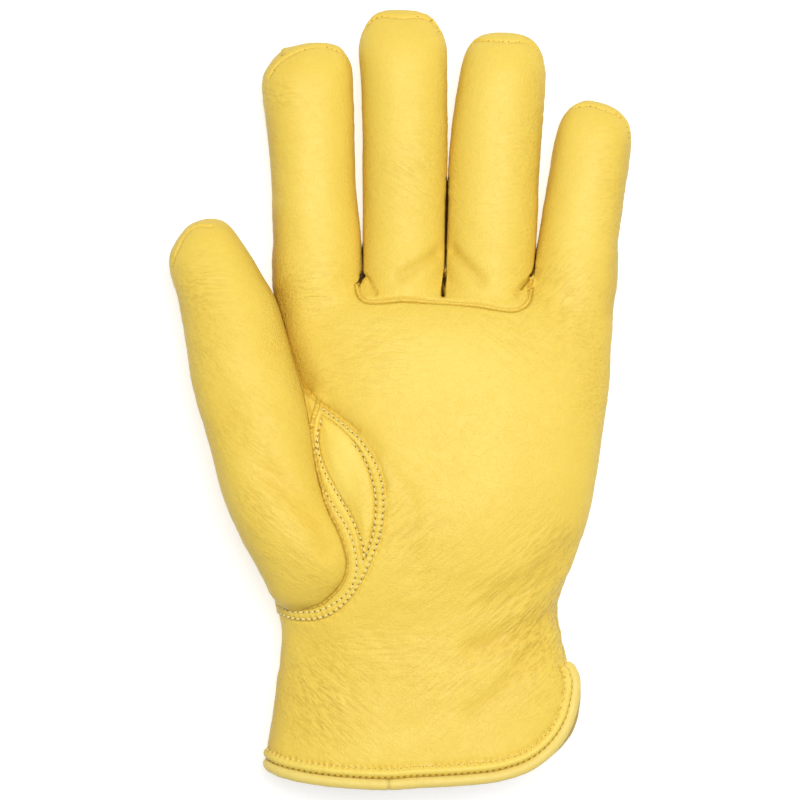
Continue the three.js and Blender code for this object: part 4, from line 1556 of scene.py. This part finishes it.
class LeatherSettings(bpy.types.PropertyGroup):
    lit: colour_setting("Leather", "Colour of the smooth leather in the light", (0.81, 0.595, 0.098))
    # Deeper tone at random and in pebbled places, and the colour of the painted shade in folds and
    # valleys.
    deep: colour_setting("Folds", "Deeper colour in folds and creases", (0.74, 0.45, 0.04))
    lining: colour_setting("Lining", "Colour of the lining inside the cuff", (0.8, 0.72, 0.52))
    wall: length_setting("Wall", "Thickness of leather and lining", 0.001, 0.003, 0.0022)
    mesh_step: length_setting(
        "Mesh step", "Size of the leather's faces away from seams", 0.001, 0.004, 0.00122
    )
    grain: bpy.props.FloatProperty(
        name="Grain", description="Depth of the pebbled grain, as a share of the usual one",
        min=0, max=3, default=1.0,
    )


class ThreadSettings(bpy.types.PropertyGroup):
    colour: colour_setting("Thread", "Colour of the waxed thread", (0.88, 0.74, 0.3))
    cuff_colour: colour_setting(
        "Cuff's thread", "Colour of the thread sunk into the cuff", (0.88, 0.7, 0.27)
    )
    hole: colour_setting("Needle holes", "Colour of the shadowed holes", (0.25, 0.15, 0.018))
    pitch: length_setting("Stitch pitch", "Distance between stitches", 0.001, 0.01, 0.0021)
    length: length_setting("Stitch length", "Length of each stitch", 0.0005, 0.008, 0.00135)
    thickness: length_setting("Thread thickness", "Thickness of the thread", 0.0002, 0.002, 0.0006)


class SeamSettings(bpy.types.PropertyGroup):
    welt: length_setting(
        "Welt radius", "Radius of the turned edge at the thumb and finger seams",
        0.0002, 0.002, 0.0005,
    )
    roll: length_setting("Roll radius", "Radius of the cuff's binding", 0.0005, 0.004, 0.0019)
    roll_lit: colour_setting("Roll", "Colour of the binding in the light", (0.8, 0.63, 0.175))
    # Deeper tone at random, and the colour of the painted shade in the binding's hollows.
    roll_deep: colour_setting(
        "Roll's creases", "Deeper colour of the binding in its creases", (0.76, 0.5, 0.075)
    )


class StageSettings(bpy.types.PropertyGroup):
    floor: colour_setting("Floor", "Colour of the plain floor", (0.52, 0.52, 0.52))
    key: bpy.props.FloatProperty(
        name="Key light", description="Power of the large soft light",
        unit="POWER", min=0, max=500, default=22.6,
    )
    fill: bpy.props.FloatProperty(
        name="Fill", description="Strength of the even light from all round",
        min=0, max=5, default=0.2,
    )


class GLOVE_OT_hand_leathers(bpy.types.Operator):
    """Makes the palm and back, the two middle fingers' front, the thumb band and its gusset"""

    bl_idname = "glove.hand_leathers"
    bl_label = "Hand leathers"

    def execute(self, context):
        settings = context.scene.glove_leather
        glove, _ = shapes(settings)
        materials, wall = materials_of_leather(settings), settings.wall
        for name, kind, node, share in (
            ("palm_and_back_leather", PALM_KIND, "palm_and_back", 0.22),
            ("two_finger_front_leather", FRONT_KIND, "two_finger_front", 0.3),
            ("thumb_band_leather", BAND_KIND, "thumb_band", 0.4),
            ("thumb_gusset_leather", GUSSET_KIND, "thumb_gusset", 0.4),
        ):
            piece = leather_piece(name, glove, kind, materials, wall, share)
            settle_piece(piece, [node])
        return {"FINISHED"}


class GLOVE_OT_thumb_leather(bpy.types.Operator):
    """Makes the thumb's own leather"""

    bl_idname = "glove.thumb_leather"
    bl_label = "Thumb leather"

    def execute(self, context):
        settings = context.scene.glove_leather
        _, thumb = shapes(settings)
        materials = materials_of_leather(settings)
        piece = leather_piece("thumb_leather", thumb, PALM_KIND, materials, settings.wall, 0.3)
        settle_piece(piece, ["thumb"])
        return {"FINISHED"}


# The thumb's welt shows from this y on, down the palm's side of the seam.
WELT_TOP = -9
# How high the middle of the thumb seam's end is above the leather, and its radius.
END_LIFT, END_RADIUS = 0.35, 0.85


class GLOVE_OT_seam_welts(bpy.types.Operator):
    """Makes the turned edges along the thumb's seam and under the two middle fingers"""

    bl_idname = "glove.seam_welts"
    bl_label = "Seam welts"

    def execute(self, context):
        settings = context.scene.glove_leather
        radius = context.scene.glove_seams.welt / MM
        glove, thumb = shapes(settings)
        leather = materials_of_leather(settings)[:1]
        line, hidden = [], True
        for point in thumb.seam:
            hidden = hidden and point[1] > WELT_TOP
            if hidden:
                continue
            (a, up_a), (b, up_b) = on_skin([glove], point), on_skin([thumb], point)
            out = (up_a + up_b) / max(np.linalg.norm(up_a + up_b), 1e-6)
            line.append((a + b) / 2 - out * 0.25 * radius)
        line = smooth_line(relax_line(np.array(line), 4), 0.4)
        radii, shade = puckered(line, radius)
        # Painted shade on the welt, more in its puckers' hollows.
        piece = cord_piece("thumb_seam_welt", line, radii, 10, leather, 0.22 + 0.28 * shade, 0.0)
        settle_piece(piece, ["thumb_seam_bead"])
        line = []
        for point in smooth_line(glove.seams["finger_seam"], 0.6):
            place, up = on_skin([glove], point)
            line.append(place + up * 0.1 * radius)
        line = relax_line(np.array(line), 3)
        radii, shade = puckered(line, radius)
        # Painted shade in the welt's puckers' hollows.
        piece = cord_piece("finger_seam_welt", line, radii, 12, leather, 0.12 * shade, 0.0)
        settle_piece(piece, ["finger_seam_bead"])
        line = smooth_line(glove.drape(SEAM_END) + (0.0, 0.0, END_LIFT), 0.3)
        radii, shade = puckered(line, END_RADIUS)
        # Painted shade on the seam's end, more in its puckers' hollows.
        piece = cord_piece("thumb_seam_end", line, radii, 14, leather, 0.04 + 0.3 * shade)
        settle_piece(piece, [])
        return {"FINISHED"}


def relax_line(line, rounds):
    """Evens a line's points, apart from its two ends."""
    for _ in range(rounds):
        line[1:-1] = line[1:-1] * 0.5 + (line[:-2] + line[2:]) * 0.25
    return line


def puckered(line, radius):
    """A radius for each point of a line with fine puckers across it, and the painted shade in their
    hollows.
    """
    length = lengths_along(line)
    fine = np.array([noise.noise(Vector((at / 0.7, 9.0, line[0][1]))) for at in length])
    return uneven(line, radius, 0.2) * (1 + 0.3 * fine), np.clip(0.5 - 1.2 * fine, 0, 1)


def uneven(line, radius, share, narrow=(0.55, 0.55)):
    """A radius for each point of a line, a little uneven, and narrower at its two ends."""
    length = lengths_along(line)
    wave = [noise.noise(Vector((at / 2.6, 5.0, line[0][0]))) for at in length]
    taper = 1.0
    for away, least in ((length, narrow[0]), (length[-1] - length, narrow[1])):
        round_end = 1 - np.clip(away / radius, 0, 1) ** 2
        taper = taper * (least + (1 - least) * np.sqrt(np.clip(1 - round_end**2, 0, 1)))
    return radius * (1 + share * np.array(wave)) * taper


# Each length of the roll: the node that it stands for, the degrees round the cuff where it starts
# and ends, and how narrow it is at its two ends.
ROLLS = {
    "cuff_roll_palm": ("cuff_binding_palm", 12.0, 100.2, (0.4, 0.7)),
    "cuff_roll_back": ("cuff_binding_back", 98.9, 340.0, (0.78, 0.4)),
}
# How far the roll's line lies inside the outer face of the leather, and how uneven the roll is.
ROLL_INSET, ROLL_UNEVEN = 1.15, 0.06


class GLOVE_OT_cuff_binding(bpy.types.Operator):
    """Makes the rolled binding of the cuff, in two lengths from the vent to the joint"""

    bl_idname = "glove.cuff_binding"
    bl_label = "Cuff binding"

    def execute(self, context):
        seams = context.scene.glove_seams
        radius = seams.roll / MM
        if "roll" not in work:
            work["roll"] = leather_material(
                "binding_leather", seams.roll_lit, seams.roll_deep, ROLL_PAINTED_SHADE, 0.5, 0.42
            )
        for name, (node, start, end, narrow) in ROLLS.items():
            line = cuff_line(radius + 0.1, ROLL_INSET, start, end, 1.0)
            line[:, 2] = np.maximum(line[:, 2], radius)
            line = relax_line(smooth_line(line, 0.8), 4)
            radii = uneven(line, radius, ROLL_UNEVEN, narrow)
            joint = np.linalg.norm(line - line[0 if start > 90 else -1], axis=1)
            behind = (line[:, 0] > 40) & (line[:, 2] < 18)
            # Painted shade at the joint, and painted shadow on the back length's low part near the vent,
            # under the front roll.
            shade = 0.6 * bell(joint, 0.8) + 0.42 * behind * smoothstep(-120, -108, line[:, 1])
            piece = cord_piece(name, line, radii, 20, [work["roll"]], shade, 0.0)
            settle_piece(piece, [node])
        return {"FINISHED"}


# How much of the middle of each fingertip's seam shows no holes.
BARE_TIPS = {"index": 0, "middle": 9, "ring": 0, "little": 0}


class GLOVE_OT_stitching(bpy.types.Operator):
    """Sews the rows of the thumb band and the cuff, and pricks the needle holes of the seams"""

    bl_idname = "glove.stitching"
    bl_label = "Stitching"

    def execute(self, context):
        threads = context.scene.glove_thread
        glove = shapes(context.scene.glove_leather)[0]
        skins = [glove]
        pitch, half = threads.pitch / MM, threads.length / MM / 2
        thick, start = threads.thickness / MM, 0.6
        hole = hole_material(threads.hole)
        stitch, sides = small_shape(7, 8, (half, thick * 0.55, thick * 0.42), thick * 0.34)
        pit, pit_sides = small_shape(7, 4, PIT)
        band_rows = [glove.seams[name] for name in ROWS]
        cuff_row = cuff_line(-HEM_ROW, 0.0, *ROW_ENDS, 1.0)
        for name, lines, share, lift, tint in (
            ("thumb_band_stitches", band_rows, 1.0, 0.3, threads.colour),
            ("cuff_stitches", [cuff_row], 0.72, 0.05, threads.cuff_colour),
        ):
            spots = [s for line in lines for s in spots_along(line, skins, pitch, start)]
            points, faces = copies_at(stitch * share, sides, spots, thick * lift)
            piece = make_piece(name, points, faces, [thread_material(name, tint)])
            settle_piece(piece, [])
        between = start + pitch / 2
        band = [s for line in band_rows for s in spots_along(line, skins, pitch, between)]
        small = spots_along(outseam_line(), skins, FINE_PITCH, start, 14.0)
        small += spots_along(cuff_row, skins, pitch, between)
        for name, bare in BARE_TIPS.items():
            line = glove.seams[name]
            length = lengths_along(line)[-1]
            small += spots_along(line, skins, FINE_PITCH, 0.8, (length - bare) / 2)
            small += spots_along(line, skins, FINE_PITCH, (length + bare) / 2)
        crease = spots_along(cuff_line(-0.35, 0.0, *CREASE_ENDS, 1.0), skins, pitch, 0.4)
        points, faces = np.empty((0, 3)), np.empty((0, 4), int)
        for size, spots, lift in ((1.0, band, 0.0), (SMALL_PIT, small, 0.0), (CREASE_PIT, crease, 0.03)):
            more, more_faces = copies_at(pit * size, pit_sides, spots, lift)
            faces = np.vstack([faces, more_faces + len(points)])
            points = np.vstack([points, more])
        settle_piece(make_piece("needle_holes", points, faces, [hole]), [])
        return {"FINISHED"}


# The soft lights: where each stands, its width, and its share of the key light's power.
LIGHTS = {
    "key_light": ((0.28, 0.24, 1.7), 0.8, 1.0),
    "top_light": ((-0.12, 0.46, 2.0), 1.2, 0.64),
}
# The camera stands straight above the glove, in metres, and far off.
CAMERA_PLACE = (-0.000333, 0.0, 1.615)
LENS, SENSOR = 216, 36
FLOOR_SIZE, FLOOR_DROP, FLOOR_GLOW = 6.0, 0.0002, 0.62


class GLOVE_OT_stage(bpy.types.Operator):
    """Sets the floor, the soft lights and the camera straight above the glove"""

    bl_idname = "glove.stage"
    bl_label = "Stage"

    def execute(self, context):
        settings = context.scene.glove_stage
        deselect_all()
        bpy.ops.mesh.primitive_plane_add(size=FLOOR_SIZE, location=(0, 0, -FLOOR_DROP))
        floor = context.active_object
        floor.name = "floor"
        material, tree = new_material("plain_floor")
        grey = clouds(tree, place_of(tree), 3.0)
        tone = blend(tree, grey * 0.1, rgba(settings.floor), darker(settings.floor, 0.98))
        sockets = {"Base Color": tone, "Roughness": 0.9, "Emission Color": (1, 1, 1, 1)}
        finish_material(tree, {**sockets, "Emission Strength": FLOOR_GLOW})
        floor.data.materials.append(material)
        for name, (place, size, share) in LIGHTS.items():
            deselect_all()
            bpy.ops.object.light_add(type="AREA", location=place)
            light = context.active_object
            light.name = name
            light.data.energy, light.data.size = settings.key * share, size
            light.rotation_euler = Vector(place).to_track_quat("Z", "Y").to_euler()
        world = bpy.data.worlds.new("studio")
        context.scene.world = world
        world.use_nodes = True
        background = world.node_tree.nodes["Background"]
        background.inputs["Color"].default_value = (1, 1, 1, 1)
        background.inputs["Strength"].default_value = settings.fill
        deselect_all()
        bpy.ops.object.camera_add(location=CAMERA_PLACE, rotation=(0, 0, 0))
        camera = context.active_object
        camera.name = "camera"
        camera.data.lens, camera.data.sensor_width = LENS, SENSOR
        camera.data.clip_start, camera.data.clip_end = 0.05, 20
        context.scene.camera = camera
        context.scene.view_settings.view_transform = "Standard"
        return {"FINISHED"}


OPERATORS = (
    GLOVE_OT_hand_leathers,
    GLOVE_OT_thumb_leather,
    GLOVE_OT_seam_welts,
    GLOVE_OT_cuff_binding,
    GLOVE_OT_stitching,
    GLOVE_OT_stage,
)


class GLOVE_PT_panel(bpy.types.Panel):
    """Lists the glove's pieces and their sizes and colours"""

    bl_idname = "GLOVE_PT_panel"
    bl_label = "Lined driver glove"
    bl_space_type = "VIEW_3D"
    bl_region_type = "UI"
    bl_category = "Glove"

    def draw(self, context):
        layout = self.layout
        for name in SETTINGS:
            group = getattr(context.scene, name)
            column = layout.column(align=True)
            for key in group.__annotations__:
                column.prop(group, key)
        for operator in OPERATORS:
            layout.operator(operator.bl_idname)


SETTINGS = {
    "glove_leather": LeatherSettings,
    "glove_thread": ThreadSettings,
    "glove_seams": SeamSettings,
    "glove_stage": StageSettings,
}
CLASSES = (*SETTINGS.values(), *OPERATORS, GLOVE_PT_panel)


def register():
    for one in CLASSES:
        bpy.utils.register_class(one)
    for name, group in SETTINGS.items():
        setattr(bpy.types.Scene, name, bpy.props.PointerProperty(type=group))


def unregister():
    for name in SETTINGS:
        delattr(bpy.types.Scene, name)
    for one in reversed(CLASSES):
        bpy.utils.unregister_class(one)


def main():
    register()
    bpy.ops.glove.hand_leathers()
    bpy.ops.glove.thumb_leather()
    bpy.ops.glove.seam_welts()
    bpy.ops.glove.cuff_binding()
    bpy.ops.glove.stitching()
    bpy.ops.glove.stage()


if __name__ == "__main__":
    main()
